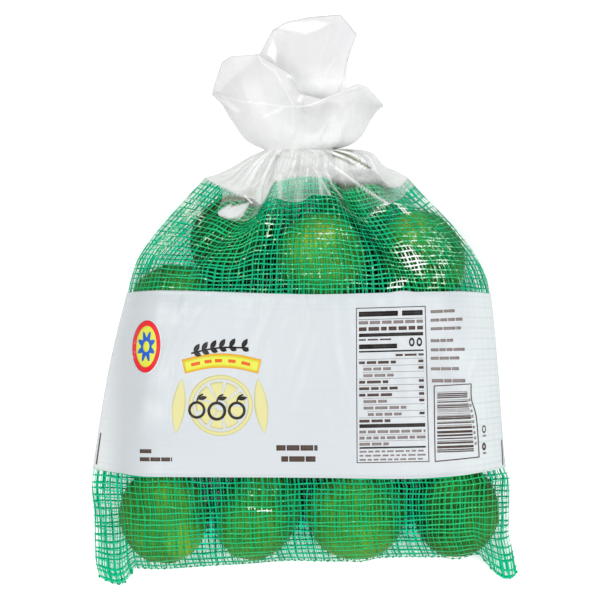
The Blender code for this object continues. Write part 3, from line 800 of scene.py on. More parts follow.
def clear_material(look):
    """Clear crushed film, milky where it lies in layers, whiter along its folds and darker in its pleats:
    painted highlights and painted shade. Its lighter tint is painted light too.
    """
    made, n, shader = new_material("clear_film", Specular_IOR_Level=0.16, Coat_Weight=0.04,
                                   Coat_Roughness=0.2)
    mottle = use_group(n, mottle_group(), Blotch_Scale=48.0, Grain_Scale=600.0)
    crinkle = use_group(n, crinkle_group(), Scale=45.0)
    # The mark paints highlights above 0, towards white, and shade below 0, towards the dark pleat colour; the
    # crinkle's creases add faint painted highlights.
    mark = n.value("mark")
    white = n.math("MAXIMUM", mark, n.math("MULTIPLY", crinkle.outputs["Crease"], 0.08))
    dark = n.math("MULTIPLY", mark, -1.0, clamp=True)
    # The tone mixes the flare's tint with a lighter one: painted light where the film would look too grey.
    tone = n.mix(n.value("tone"), look.film_colour, look.film_lit_tint)
    tone = n.mix(white, tone, (0.98, 0.98, 0.98, 1.0))
    n.feed(shader.inputs["Base Color"], n.mix(dark, tone, look.film_pleat_shade))
    haze = n.math("ADD", n.value("haze"), n.ramp(mottle.outputs["Blotch"], 0.0, 1.0, -0.04, 0.04))
    drawn = n.math("MULTIPLY", n.math("ABSOLUTE", mark), 0.55)
    n.feed(shader.inputs["Alpha"], n.math("ADD", haze, drawn, clamp=True))
    n.feed(shader.inputs["Roughness"], n.ramp(mottle.outputs["Grain"], 0.0, 1.0, 0.22, 0.32))
    bump(n, shader, crinkle.outputs["Height"], 0.15, 0.0009)
    return made


# ================================================================ the fruit

def lime_shape(lime, unit, rng):
    """Points of one lime for the points of a unit sphere whose x runs along the lime, and its two marks: how
    yellow it is there and whether the stem's scar is there."""
    end = unit[:, 0] * lime.nipple
    lumps = np.zeros(len(unit))
    for turns, size in ((2.1, 0.010), (3.3, 0.008), (5.2, 0.005), (8.5, 0.003)):
        for _ in range(3):
            way = np.array([rng.gauss(0, 1) for _ in range(3)])
            way *= turns / np.linalg.norm(way)
            lumps += size * np.sin(unit @ way + rng.uniform(0, 2 * PI))
    lumps -= lumps.max() - 0.004
    slim = 1 - 0.30 * step_between(end, 0.86, 0.99) - 0.10 * step_between(-end, 0.9, 1.0)
    ends = 1 + 0.012 * step_between(end, 0.93, 1.0) - 0.045 * step_between(-end, 0.95, 1.0)
    body = unit * (1 + lumps)[:, None]
    local = np.stack([body[:, 0] * ends * lime.length / 2, body[:, 1] * slim * lime.diameter / 2,
                      body[:, 2] * slim * lime.diameter / 2], axis=1)
    centre, axis = lime_frame(lime)
    side = np.cross([0.0, 0.0, 1.0], axis)
    side /= np.linalg.norm(side)
    turned = local @ np.array([axis, side, np.cross(axis, side)])
    spot = np.array([rng.gauss(0, 1) for _ in range(3)])
    spot[2] = abs(spot[2]) + 0.4
    spot /= np.linalg.norm(spot)
    away = (turned / np.linalg.norm(turned, axis=1)[:, None]) @ spot
    ripe = lime.ripe + 0.16 * step_between(away, 0.25, 0.95) - 0.06 + 0.10 * step_between(end, 0.7, 1.0)
    points = centre + turned
    # This adds turned peel and, just under the band's lower edge, painted light.
    for x, y, reach, amount in TURNED_AND_LIT_PEEL:
        near = np.clip(1 - np.hypot(points[:, 0] - x, points[:, 1] - y) / reach, 0, 1)
        ripe = ripe + amount * near ** 0.7 * (turned[:, 2] > 0)
    points[:, 2] = np.maximum(points[:, 2], 0.9)
    return points, ripe, step_between(-end, 0.985, 0.998)


def make_limes(look):
    """All the fruit as one joined piece."""
    rng = random.Random(look.seed)
    bm = bmesh.new()
    ripe_layer = bm.verts.layers.float.new("ripe")
    scar_layer = bm.verts.layers.float.new("scar")
    quarter = Matrix.Rotation(PI / 2, 4, "Y")
    for lime in LIMES:
        made = bmesh.ops.create_uvsphere(bm, u_segments=64, v_segments=44, radius=1.0, matrix=quarter)
        unit = np.array([v.co[:] for v in made["verts"]])
        points, ripe, scar = lime_shape(lime, unit, rng)
        for vert, point, yellow, mark in zip(made["verts"], points, ripe, scar):
            vert.co = point
            vert[ripe_layer] = yellow
            vert[scar_layer] = mark
    bmesh.ops.recalc_face_normals(bm, faces=bm.faces[:])
    return piece("limes", bm, [peel_material(look)], "net_bag")


# ================================================================ the net

def glare(x, y):
    """How much of the studio light one sees in the plastic at a place."""
    total = np.zeros(np.shape(x))
    for spot in NET_GLARES:
        turn = math.radians(spot.heading)
        dx, dy = x - spot.x, y - spot.y
        a = (dx * math.cos(turn) + dy * math.sin(turn)) / spot.length
        b = (dy * math.cos(turn) - dx * math.sin(turn)) / spot.width
        total = np.maximum(total, spot.strength * np.clip(2.2 * (1 - np.hypot(a, b)), 0, 1))
    return total


def net_shine(points, s, v, share):
    """How brightly a strand gives back the lamps: a little all over, more above the band, most in the glares.
    Below 0 is how far the fruit shades it, on the back sheet."""
    x, y = points[:, 0], points[:, 1]
    lit = share * np.maximum(0.10 + 0.10 * step_between(v, 1.9, 2.1), glare(x, y))
    under = 0.9 * step_between(-outside(SHADED_FLOOR, x, y), 3.0, 12.0)
    return np.where(s % 2 > 1, -under, lit)


def peel_contact_and_backlight(drape, points, s):
    """Up to 1 where a strand lies on a lime, so that the peel's green shows through it, but less above the
    band. It goes down to -1 over the bright floor, or to -2 where that floor is between limes at the seam:
    there the strands are painted a paler teal, painted light for the floor's glow coming up through them."""
    x, y = points[:, 0], points[:, 1]
    gap = points[:, 2] - drape.fruit_top(x, y)
    over_floor = (gap > 500) * step_between(outside(SHADED_FLOOR, x, y), -6.0, 4.0)
    between = step_between(98 - np.abs(x), 0.0, 6.0) * step_between(y, -141.0, -134.0) * (y < -100)
    on_peel = (1 - step_between(gap, 2.0, 7.0)) * (s % 2 < 1) * np.where(y > 0, 0.6, 1.0)
    return on_peel - over_floor * (1 + between)


def make_warp(drape, look, name, width, rows, shift, seed):
    """The tapes that run from the seam up to the rim, round both sheets."""
    rng = random.Random(look.seed + seed)
    count = look.tape_count
    phases = np.array([[rng.uniform(0, 2 * PI) for _ in range(4)] for _ in range(count)])
    widths = np.array([rng.uniform(0.8, 1.15) for _ in range(count)])

    def place(column, row):
        tape, side = column // 2, column % 2 * 2 - 1
        at = row / rows
        v = drape.at_run(at)
        phase = phases[tape]
        sway = 0.15 * np.sin(2 * PI * 2.1 * at + phase[:, 0]) + 0.08 * np.sin(2 * PI * 7.3 * at + phase[:, 1])
        even = (tape + shift + sway) / count * 2
        middle = drape.gathered(even + drape.out_of_step(even) / count, v)
        lean = np.clip(drape.outward(middle, v)[:, 2] ** 2, 0.2, 1.0) ** 0.5
        above = step_between(v, 2.0, 2.3) * (1 - step_between(middle, 0.68, 0.80) * (middle < 1))
        narrow = 1 - (0.50 if width < 0.0006 else 0.10) * above
        broad = 1 + 0.2 * drape.beside(middle, v)
        half = broad * narrow * width / MM / 2 * lean * widths[tape] / np.maximum(drape.width(v), 60.0)
        s = middle + side * half
        twist = 0.13 * np.sin(2 * PI * 9.0 * at + phase[:, 2])
        twist = twist + 0.08 * np.sin(2 * PI * 23.0 * at + phase[:, 3])
        lift = 0.06 - 0.1 * under_band(v, 0.02)
        points = drape.place(s, v) + drape.outward(s, v) * (lift + side * twist * (width > 0.0006))[:, None]
        return points, {"shine": net_shine(points, s, v, 0.75),
                        "peel_contact_and_backlight": peel_contact_and_backlight(drape, points, s)}

    bm = grid(2 * count - 1, rows, place, keep=lambda column, row: column % 2 == 0)
    made = piece(name, bm, [tape_material(name, look.warp_colour, look.warp_pale, look.warp_contact, 0.36)],
                 "net_bag")
    return thicken(made, STRAND_THICK)


def make_weft(drape, look):
    """The threads that run round the tube, closer where they bunch at the seam."""
    rng = random.Random(look.seed + 2)
    count, around = int(drape.thread_run[-1]), WEFT_COLUMNS
    phases = np.array([[rng.uniform(0, 2 * PI) for _ in range(4)] for _ in range(count)])

    def place(column, row):
        thread, side = row // 2, row % 2 * 2 - 1
        at = column / around
        phase = phases[thread]
        sway = (0.14 * np.sin(2 * PI * 3 * at + phase[:, 0]) + 0.09 * np.sin(2 * PI * 11 * at + phase[:, 1])
                + 0.04 * np.sin(2 * PI * 29 * at + phase[:, 2]))
        v = np.interp(thread + 0.3 + sway + 0.5 * drape.out_of_step(2 * at), drape.thread_run, drape.thread_v)
        lean = np.clip(drape.outward(2 * at, v)[:, 2] ** 2, 0.12, 1.0) ** 0.5
        lean = lean * (1 + 0.2 * drape.beside(2 * at, v))
        v = v + side * lean * look.weft_width / MM / 2 / drape.pace(2 * at, v)
        twist = 0.10 * np.sin(2 * PI * 31 * at + phase[:, 3])
        lift = 0.26 - 0.26 * under_band(v, 0.02)
        points = drape.place(2 * at, v) + drape.outward(2 * at, v) * (lift + side * twist)[:, None]
        return points, {"shine": net_shine(points, 2 * at, v, 1.0),
                        "peel_contact_and_backlight": peel_contact_and_backlight(drape, points, 2 * at)}

    bm = grid(around, 2 * count - 1, place, ring=True, keep=lambda column, row: row % 2 == 0)
    made = piece("net_weft", bm,
                 [tape_material("weft_thread", look.weft_colour, look.weft_pale, look.weft_contact, 0.24)],
                 "net_bag")
    return thicken(made, STRAND_THICK)


def make_hem(drape, look):
    """The melted bead at the end of each tape, where the tube is welded shut."""
    rng = random.Random(look.seed + 3)
    bm = bmesh.new()
    for tape in range(look.tape_count // 2 + 1):
        s = tape * 2 / look.tape_count
        ahead = drape.place(s + 0.003, 0.0) - drape.place(s - 0.003, 0.0)
        turn = Matrix.Rotation(math.atan2(ahead[1], ahead[0]), 4, "Z")
        x, y, z = drape.place(s, 0.0)
        size = Matrix.Diagonal((rng.uniform(0.6, 1.0), rng.uniform(0.4, 0.6), 0.45, 1.0))
        where = Matrix.Translation((x, y + 0.1, z - FOLD_HALF))
        bmesh.ops.create_uvsphere(bm, u_segments=12, v_segments=8, radius=1.0, matrix=where @ turn @ size)
    material = tape_material("hem_bead", look.warp_colour, look.warp_colour, look.warp_colour, 0.4)
    return piece("net_hem", bm, [material], "net_bag")


# ================================================================ the band

def make_band(drape, look):
    """The film laminated round the net: stiff, a little crinkled, and printed in the middle of its front."""
    rng = random.Random(look.seed + 4)
    around, rows = BAND_COLUMNS, BAND_ROWS
    creases = [(rng.uniform(0.05, 0.95), rng.uniform(1.5, 2.1), rng.uniform(0.15, 0.4), rng.gauss(0, 0.12),
                rng.uniform(0.010, 0.024), rng.uniform(0.14, 0.50)) for _ in range(34)]

    def place(column, row):
        s, v = 2.0 * column / around, 1.0 + row / rows
        lift = np.zeros(len(s))
        for middle, level, long, lean, wide, high in creases:
            away = np.abs(s - middle - lean * (v - level))
            reach = np.clip(1.5 - np.abs(v - level) / long, 0, 1)
            lift += high * np.clip(1 - away / wide, 0, 1) * reach
        lip = 0.7 * np.exp(-((v - 1.0) / 0.012) ** 2) + 0.4 * np.exp(-((v - 2.0) / 0.01) ** 2)
        front = step_between(s, 0.0, 0.03) * (1 - step_between(s, 0.97, 1.0)) * (s < 1)
        high = 0.5 + (lift * look.crinkle + lip) * front
        points = drape.place(s, v) + drape.outward(s, v) * high[:, None]
        x = points[:, 0]
        printed = step_between(x, look.print_left / MM - 4, look.print_left / MM + 12) * (
            1 - step_between(x, look.print_right / MM - 12, look.print_right / MM + 10))
        threads = np.interp(v, drape.thread_v, drape.thread_run)
        tapes = s * look.tape_count / 2
        grid_line = np.maximum(np.abs(saw(threads / 2)) ** 3, np.abs(saw(tapes / 2)) ** 3)
        near_rim = np.maximum(1 - printed, step_between(v, 1.86, 1.99))
        return points, {"printed": np.where(s < 1, printed, 0.35),
                        "weave": grid_line * (0.10 + 0.36 * near_rim)}

    bm = grid(around, rows, place, ring=True)
    made = piece("band", bm, [band_material(look)], "label_band")
    return thicken(made, FILM_THICK, -1.0)


# ================================================================ the print

class Print:
    """Thin patches of ink, drawn in the plan and laid down onto the band."""

    INKS = (("ink_black", (0.012, 0.008, 0.007, 1.0)), ("ink_brown", (0.075, 0.045, 0.035, 1.0)),
            ("ink_grey", (0.24, 0.20, 0.19, 1.0)), ("ink_red", (0.72, 0.012, 0.022, 1.0)),
            ("ink_lemon", (0.68, 0.70, 0.06, 1.0)), ("ink_blue", (0.01, 0.10, 0.52, 1.0)),
            ("ink_amber", (0.82, 0.42, 0.02, 1.0)), ("ink_cream", (0.66, 0.62, 0.28, 1.0)),
            ("ink_orange", (0.80, 0.11, 0.015, 1.0)), ("ink_mist", (0.62, 0.78, 0.80, 1.0)))

    def __init__(self, base):
        surface = bmesh.new()
        surface.from_mesh(base.data)
        self.ground = BVHTree.FromBMesh(surface)
        surface.free()
        self.bm = bmesh.new()
        self.names = [name for name, _ in self.INKS]

    def patch(self, ink, layer, columns, rows, place, ring=False):
        """One patch: place gives x and y for shares across and along."""
        made = bmesh.ops.create_grid(self.bm, x_segments=max(1, columns), y_segments=max(1, rows), size=0.5)
        verts = made["verts"]
        shares = np.array([v.co[:2] for v in verts]) + 0.5
        x, y = place(shares[:, 0], shares[:, 1])
        for vert, px, py in zip(verts, x, y):
            hit = self.ground.ray_cast(Vector((px * MM, py * MM, 0.2)), Vector((0, 0, -1)))[0]
            if hit is None:
                raise RuntimeError("a printed patch lies beside the band")
            vert.co = (px, py, hit.z / MM + 0.08 + 0.035 * layer)
        index = self.names.index(ink)
        for face in {f for v in verts for f in v.link_faces}:
            face.material_index = index
        if ring:
            bmesh.ops.remove_doubles(self.bm, verts=verts, dist=1e-4)

    def quad(self, ink, layer, corners, a0, b0, a1, b1):
        """A rectangle in the shares of a four-cornered field, whose corners run round from the lower left."""
        low_left, low_right, high_right, high_left = (np.array(c) for c in corners)
        wide = np.linalg.norm(low_right - low_left) * abs(a1 - a0)
        tall = np.linalg.norm(high_left - low_left) * abs(b1 - b0)

        def place(a, b):
            a, b = a0 + (a1 - a0) * a[:, None], b0 + (b1 - b0) * b[:, None]
            both = (low_left * (1 - a) + low_right * a) * (1 - b) + (high_left * (1 - a) + high_right * a) * b
            return both.T
        self.patch(ink, layer, math.ceil(wide / 1.8), math.ceil(tall / 1.8), place)

    def stroke(self, ink, layer, points, width, taper=0.0):
        """A ribbon of one width along a smooth curve, narrowed to its ends by taper."""
        knots = np.array(points, float)
        length = np.linalg.norm(np.diff(knots, axis=0), axis=1).sum()

        def place(a, b):
            here = along(knots, a)
            way = along(knots, np.minimum(a + 0.01, 1.0)) - along(knots, np.maximum(a - 0.01, 0.0))
            way /= np.linalg.norm(way, axis=1)[:, None]
            wide = width * (1 - taper * (2 * a - 1) ** 2) * (b - 0.5)
            return here[:, 0] - way[:, 1] * wide, here[:, 1] + way[:, 0] * wide
        self.patch(ink, layer, math.ceil(length / 1.2), math.ceil(width / 1.8), place)

    def disc(self, ink, layer, x, y, wide, tall, inner=0.0, lean=0.0, points=0, start=0.0, sweep=1.0):
        """A round, a ring or a slice of one; points turns its rim into a star."""
        around = max(16, math.ceil(2 * PI * max(wide, tall) * sweep / 1.0))

        def place(a, b):
            angle = -2 * PI * (start + a * sweep)
            radius = inner + (1 - inner) * b
            if points:
                radius = radius * (1 - 0.22 * (1 + np.cos(points * angle)) * b)
            across, up = np.cos(angle) * radius * wide, np.sin(angle) * radius * tall
            return x + across + lean * up, y + up
        self.patch(ink, layer, around, math.ceil(max(wide, tall) * (1 - inner) / 1.8), place,
                   ring=sweep == 1.0)

    def leaf(self, ink, layer, x, y, length, width, heading):
        """A pointed leaf from its stalk end."""
        turn = math.radians(heading)

        def place(a, b):
            out = a * length
            side = (b - 0.5) * width * np.sin(PI * np.clip(a, 0.001, 0.999)) ** 0.8
            return (x + out * math.cos(turn) - side * math.sin(turn),
                    y + out * math.sin(turn) + side * math.cos(turn))
        self.patch(ink, layer, math.ceil(length / 1.0), math.ceil(width / 1.6), place)

    def words(self, rng, ink, layer, corners, b, tall, a0, a1, mean=0.11):
        """A row of word-like bars between two shares across a field."""
        at = a0
        while at < a1 - 0.02:
            end = min(a1, at + mean * rng.uniform(0.6, 1.5))
            self.quad(ink, layer, corners, at, b - tall / 2, end, b + tall / 2)
            at = end + 0.028

    def finish(self):
        """Turn all the patches into one piece."""
        materials = [ink_material(name, colour) for name, colour in self.INKS]
        return thicken(piece("print", self.bm, materials, "label_band"), INK_THICK, 1.0)


def facts_table(ink, rng):
    """A framed table of rules, heavy bars and word-like marks."""
    field = ((27.4, -86.8), (66.0, -86.2), (63.9, -3.4), (27.0, -4.5))
    line, side = 0.0055, 0.011
    for box in ((0.0, 0.0, 1.0, line), (0.0, 1 - line, 1.0, 1.0), (0.0, 0.0, side, 1.0),
                (1 - side, 0.0, 1.0, 1.0)):
        ink.quad("ink_brown", 1, field, *box)
    low, high = 0.04, 0.955
    for start, end in ((low, 0.60), (0.66, high)):
        ink.quad("ink_black", 1, field, start, 0.942, end, 0.975)
    ink.quad("ink_brown", 1, field, low, 0.922, high, 0.925)
    ink.words(rng, "ink_grey", 1, field, 0.903, 0.020, low, high, 0.14)
    ink.words(rng, "ink_brown", 1, field, 0.862, 0.024, low, high, 0.13)
    ink.quad("ink_black", 1, field, low, 0.812, high, 0.834)
    ink.words(rng, "ink_brown", 1, field, 0.793, 0.010, low, 0.50, 0.11)
    ink.quad("ink_black", 1, field, low, 0.734, 0.58, 0.764)
    ink.disc("ink_black", 1, 60.6, -22.5, 1.5, 2.4, inner=0.5)
    ink.disc("ink_black", 1, 56.6, -22.6, 1.5, 2.4, inner=0.5)
    ink.quad("ink_black", 1, field, low, 0.712, high, 0.722)
    ink.words(rng, "ink_brown", 1, field, 0.690, 0.014, 0.56, high, 0.12)
    indents = (0, 1, 1, 0, 0, 0, 1, 1, 2, 0)
    for row, indent in enumerate(indents):
        level = 0.646 - 0.0418 * row
        tone = "ink_grey" if indent else "ink_brown"
        start = low + 0.06 * indent
        ink.quad("ink_grey", 1, field, start - 0.01, level + 0.0195, high, level + 0.0222)
        ink.words(rng, tone, 1, field, level, 0.018, start, start + rng.uniform(0.32, 0.62), 0.13)
        if row not in (2, 7, 9):
            ink.quad("ink_brown", 1, field, 0.88, level - 0.006, 0.95, level + 0.011)
    ink.quad("ink_black", 1, field, low, 0.226, high, 0.250)
    for row, reach in enumerate((high, high, 0.46)):
        level = 0.200 - 0.0395 * row
        ink.words(rng, "ink_grey", 1, field, level, 0.018, low, reach, 0.10)
        if row < 2:
            ink.quad("ink_grey", 1, field, low, level - 0.0215, high, level - 0.0190)
    ink.quad("ink_black", 1, field, low, 0.092, high, 0.103)
    for row, reach in enumerate((high, high, 0.93)):
        ink.words(rng, "ink_grey", 1, field, 0.073 - 0.0262 * row, 0.011, low, reach, 0.08)


def side_marks(ink, rng):
    """The rows of word-like marks, the block of bars and the small symbols right of the table."""
    field = ((66.8, -42.0), (85.0, -42.0), (84.4, -4.0), (66.6, -4.8))
    for level, reach in ((0.945, 0.72), (0.80, 0.95), (0.655, 0.90), (0.38, 0.66), (0.25, 1.0), (0.13, 0.86),
                         (-0.02, 0.82)):
        b = 0.16 + 0.84 * level if level > 0.5 else level + 0.16
        ink.words(rng, "ink_grey", 1, field, b, 0.042, 0.0, reach, 0.26)
    ink.words(rng, "ink_grey", 1, field, -0.03, 0.048, 0.03, 1.02, 0.32)
    left = [(68.5, -45.9), (69.1, -86.0)]
    right = [(88.4, -44.9), (88.6, -53.0), (91.4, -63.5), (92.8, -83.9)]
    ink.stroke("ink_brown", 1, left, 0.55)
    ink.stroke("ink_brown", 1, right, 0.55)
    ink.stroke("ink_brown", 1, [left[0], right[0]], 0.5)
    ink.stroke("ink_brown", 1, [left[1], right[-1]], 0.6)
    level = -49.3
    while level > -81.5:
        tall = 0.33 * rng.choice((1, 1, 2, 2, 3))
        reach = np.interp(-level, [45, 53, 64, 84], [86.2, 86.4, 88.6, 90.2])
        tone = "ink_brown" if tall > 0.5 or level < -68 else "ink_grey"
        ink.stroke(tone, 1, [(70.2, level), (reach, level + 0.5)], tall)
        level -= tall + 0.33 * rng.choice((1, 1, 2))
    for row in range(9):
        spot = np.interp(row, [0, 3, 8], [87.2, 88.9, 90.6])
        ink.disc("ink_brown", 2, spot + 0.3, -53.5 - 2.9 * row, 0.55, 0.75, inner=0.45)
    for level, inner in ((-69.2, 0.6), (-78.4, 0.35)):
        ink.disc("ink_brown", 1, 95.5, level, 1.1, 2.1, inner=inner)
        ink.stroke("ink_grey", 1, [(94.9, level - 3.6), (96.6, level - 3.4)], 1.0)
    ink.stroke("ink_brown", 1, [(105.6, -75.5), (106.2, -88.8)], 0.6)
    ink.stroke("ink_brown", 1, [(-109.6, -71.5), (-112.0, -88.5)], 0.7)


def front_art(ink, rng):
    """The badge, the plaque, the pale citrus wheel with its leaves, and the dark sprig and fruit row."""
    badge = dict(x=-84.4, y=-25.0, lean=0.05)
    ink.disc("ink_mist", 1, wide=8.2, tall=14.6, **badge)
    ink.disc("ink_red", 2, wide=7.7, tall=14.0, **badge)
    ink.disc("ink_lemon", 3, wide=5.5, tall=11.0, **badge)
    ink.disc("ink_blue", 4, wide=4.9, tall=8.6, points=8, **badge)
    ink.disc("ink_lemon", 5, wide=1.7, tall=3.0, **badge)

    wheel = (-44.8, -56.2)
    ink.disc("ink_cream", 1, *wheel, 17.0, 16.2, inner=0.86)
    for at in range(9):
        ink.disc("ink_cream", 1, *wheel, 13.2, 12.6, inner=0.22, start=at / 9 + 0.012, sweep=1 / 9 - 0.024)
    for x, heading in ((-68.5, 84.0), (-21.5, 97.0)):
        ink.leaf("ink_cream", 1, x, -71.0, 29.0, 7.0, heading)

    plaque = [(-64.5, -35.6), (-54.0, -33.2), (-44.4, -32.4), (-34.5, -33.2), (-24.0, -35.6)]
    ink.stroke("ink_amber", 2, plaque, 7.6)
    inner = [(x * 0.96 - 1.8, y) for x, y in plaque]
    ink.stroke("ink_lemon", 3, inner, 5.6)
    for share in (0.10, 0.26, 0.41, 0.60, 0.78):
        x, y = along(inner, np.array([share, share + 0.10])).T
        ink.stroke("ink_orange", 4, list(zip(x, y)), 1.7)

    sprig = [(-60.4, -28.6), (-52.0, -26.6), (-42.0, -25.4), (-30.0, -25.8)]
    ink.stroke("ink_black", 4, sprig, 0.9)
    for share in (0.08, 0.24, 0.40, 0.56, 0.72, 0.88):
        x, y = along(sprig, share)
        for heading in (58.0, -22.0):
            ink.leaf("ink_black", 5, x, y, 5.6 if heading > 0 else 4.2, 2.6, heading)

    for x, y, r in ((-57.4, -58.6, 4.6), (-46.8, -59.2, 5.0), (-36.2, -58.9, 4.7)):
        ink.disc("ink_black", 4, x, y, r, r * 1.02, inner=0.70)
        ink.stroke("ink_black", 4, [(x, y + r), (x + 1.2, y + r + 2.6), (x + 3.4, y + r + 3.8)], 1.1, 0.4)
        ink.leaf("ink_black", 4, x + 0.6, y + r + 1.2, 5.0, 2.2, 12.0)

    for level, reach in ((-80.6, 0.36), (-84.9, 1.0)):
        row = ((-87.8, level - 1.1), (-70.6, level - 1.1), (-70.6, level + 1.1), (-87.8, level + 1.1))
        ink.words(rng, "ink_brown", 1, row, 0.5, 0.95, 0.0, reach, 0.4)
    for level, start, reach in ((-78.7, 0.0, 1.0), (-84.6, 0.12, 0.95)):
        row = ((-15.2, level - 1.6), (6.6, level - 1.6), (6.6, level + 1.6), (-15.2, level + 1.6))
        ink.words(rng, "ink_brown", 1, row, 0.5, 0.9, start, reach, 0.26)


def make_print(look, band):
    """Everything printed on the band's front. No mark is a letter."""
    rng = random.Random(look.seed + 5)
    ink = Print(band)
    facts_table(ink, rng)
    side_marks(ink, rng)
    front_art(ink, rng)
    return ink.finish()


# ================================================================ the clear film

def mouth_points(shares):
    """Points of the mouth's rim: the front edge for shares under a half, and then the back edge."""
    ends = []
    for edge in (MOUTH_FRONT + MOUTH_BACK[:1], MOUTH_BACK + MOUTH_FRONT[:1]):
        knots = np.array(edge)
        run = np.concatenate([[0], np.cumsum(np.linalg.norm(np.diff(knots, axis=0), axis=1))])
        place = (shares % 0.5) * 2 * run[-1]
        ends.append(np.stack([np.interp(place, run, knots[:, axis]) for axis in range(3)], axis=1))
    return np.where((shares < 0.5)[:, None], ends[0], ends[1])


def saw(at):
    """A folded wave between -1 and 1 with sharp turns."""
    return 2 / PI * np.arcsin(np.sin(2 * PI * at))


def outside(outline, x, y):
    """How far points lie outside a convex outline that turns left. It is below 0 inside."""
    away = np.full(np.shape(x), -1e3)
    for (x0, y0), (x1, y1) in zip(outline, outline[1:] + outline[:1]):
        dx, dy = x1 - x0, y1 - y0
        away = np.maximum(away, ((x - x0) * dy - (y - y0) * dx) / math.hypot(dx, dy))
    return away


def route_distance(route, x, y):
    """How far points lie in the plan from a line through route's points."""
    return np.min([from_line(x, y, *start, *end)[0] for start, end in zip(route, route[1:])], axis=0)


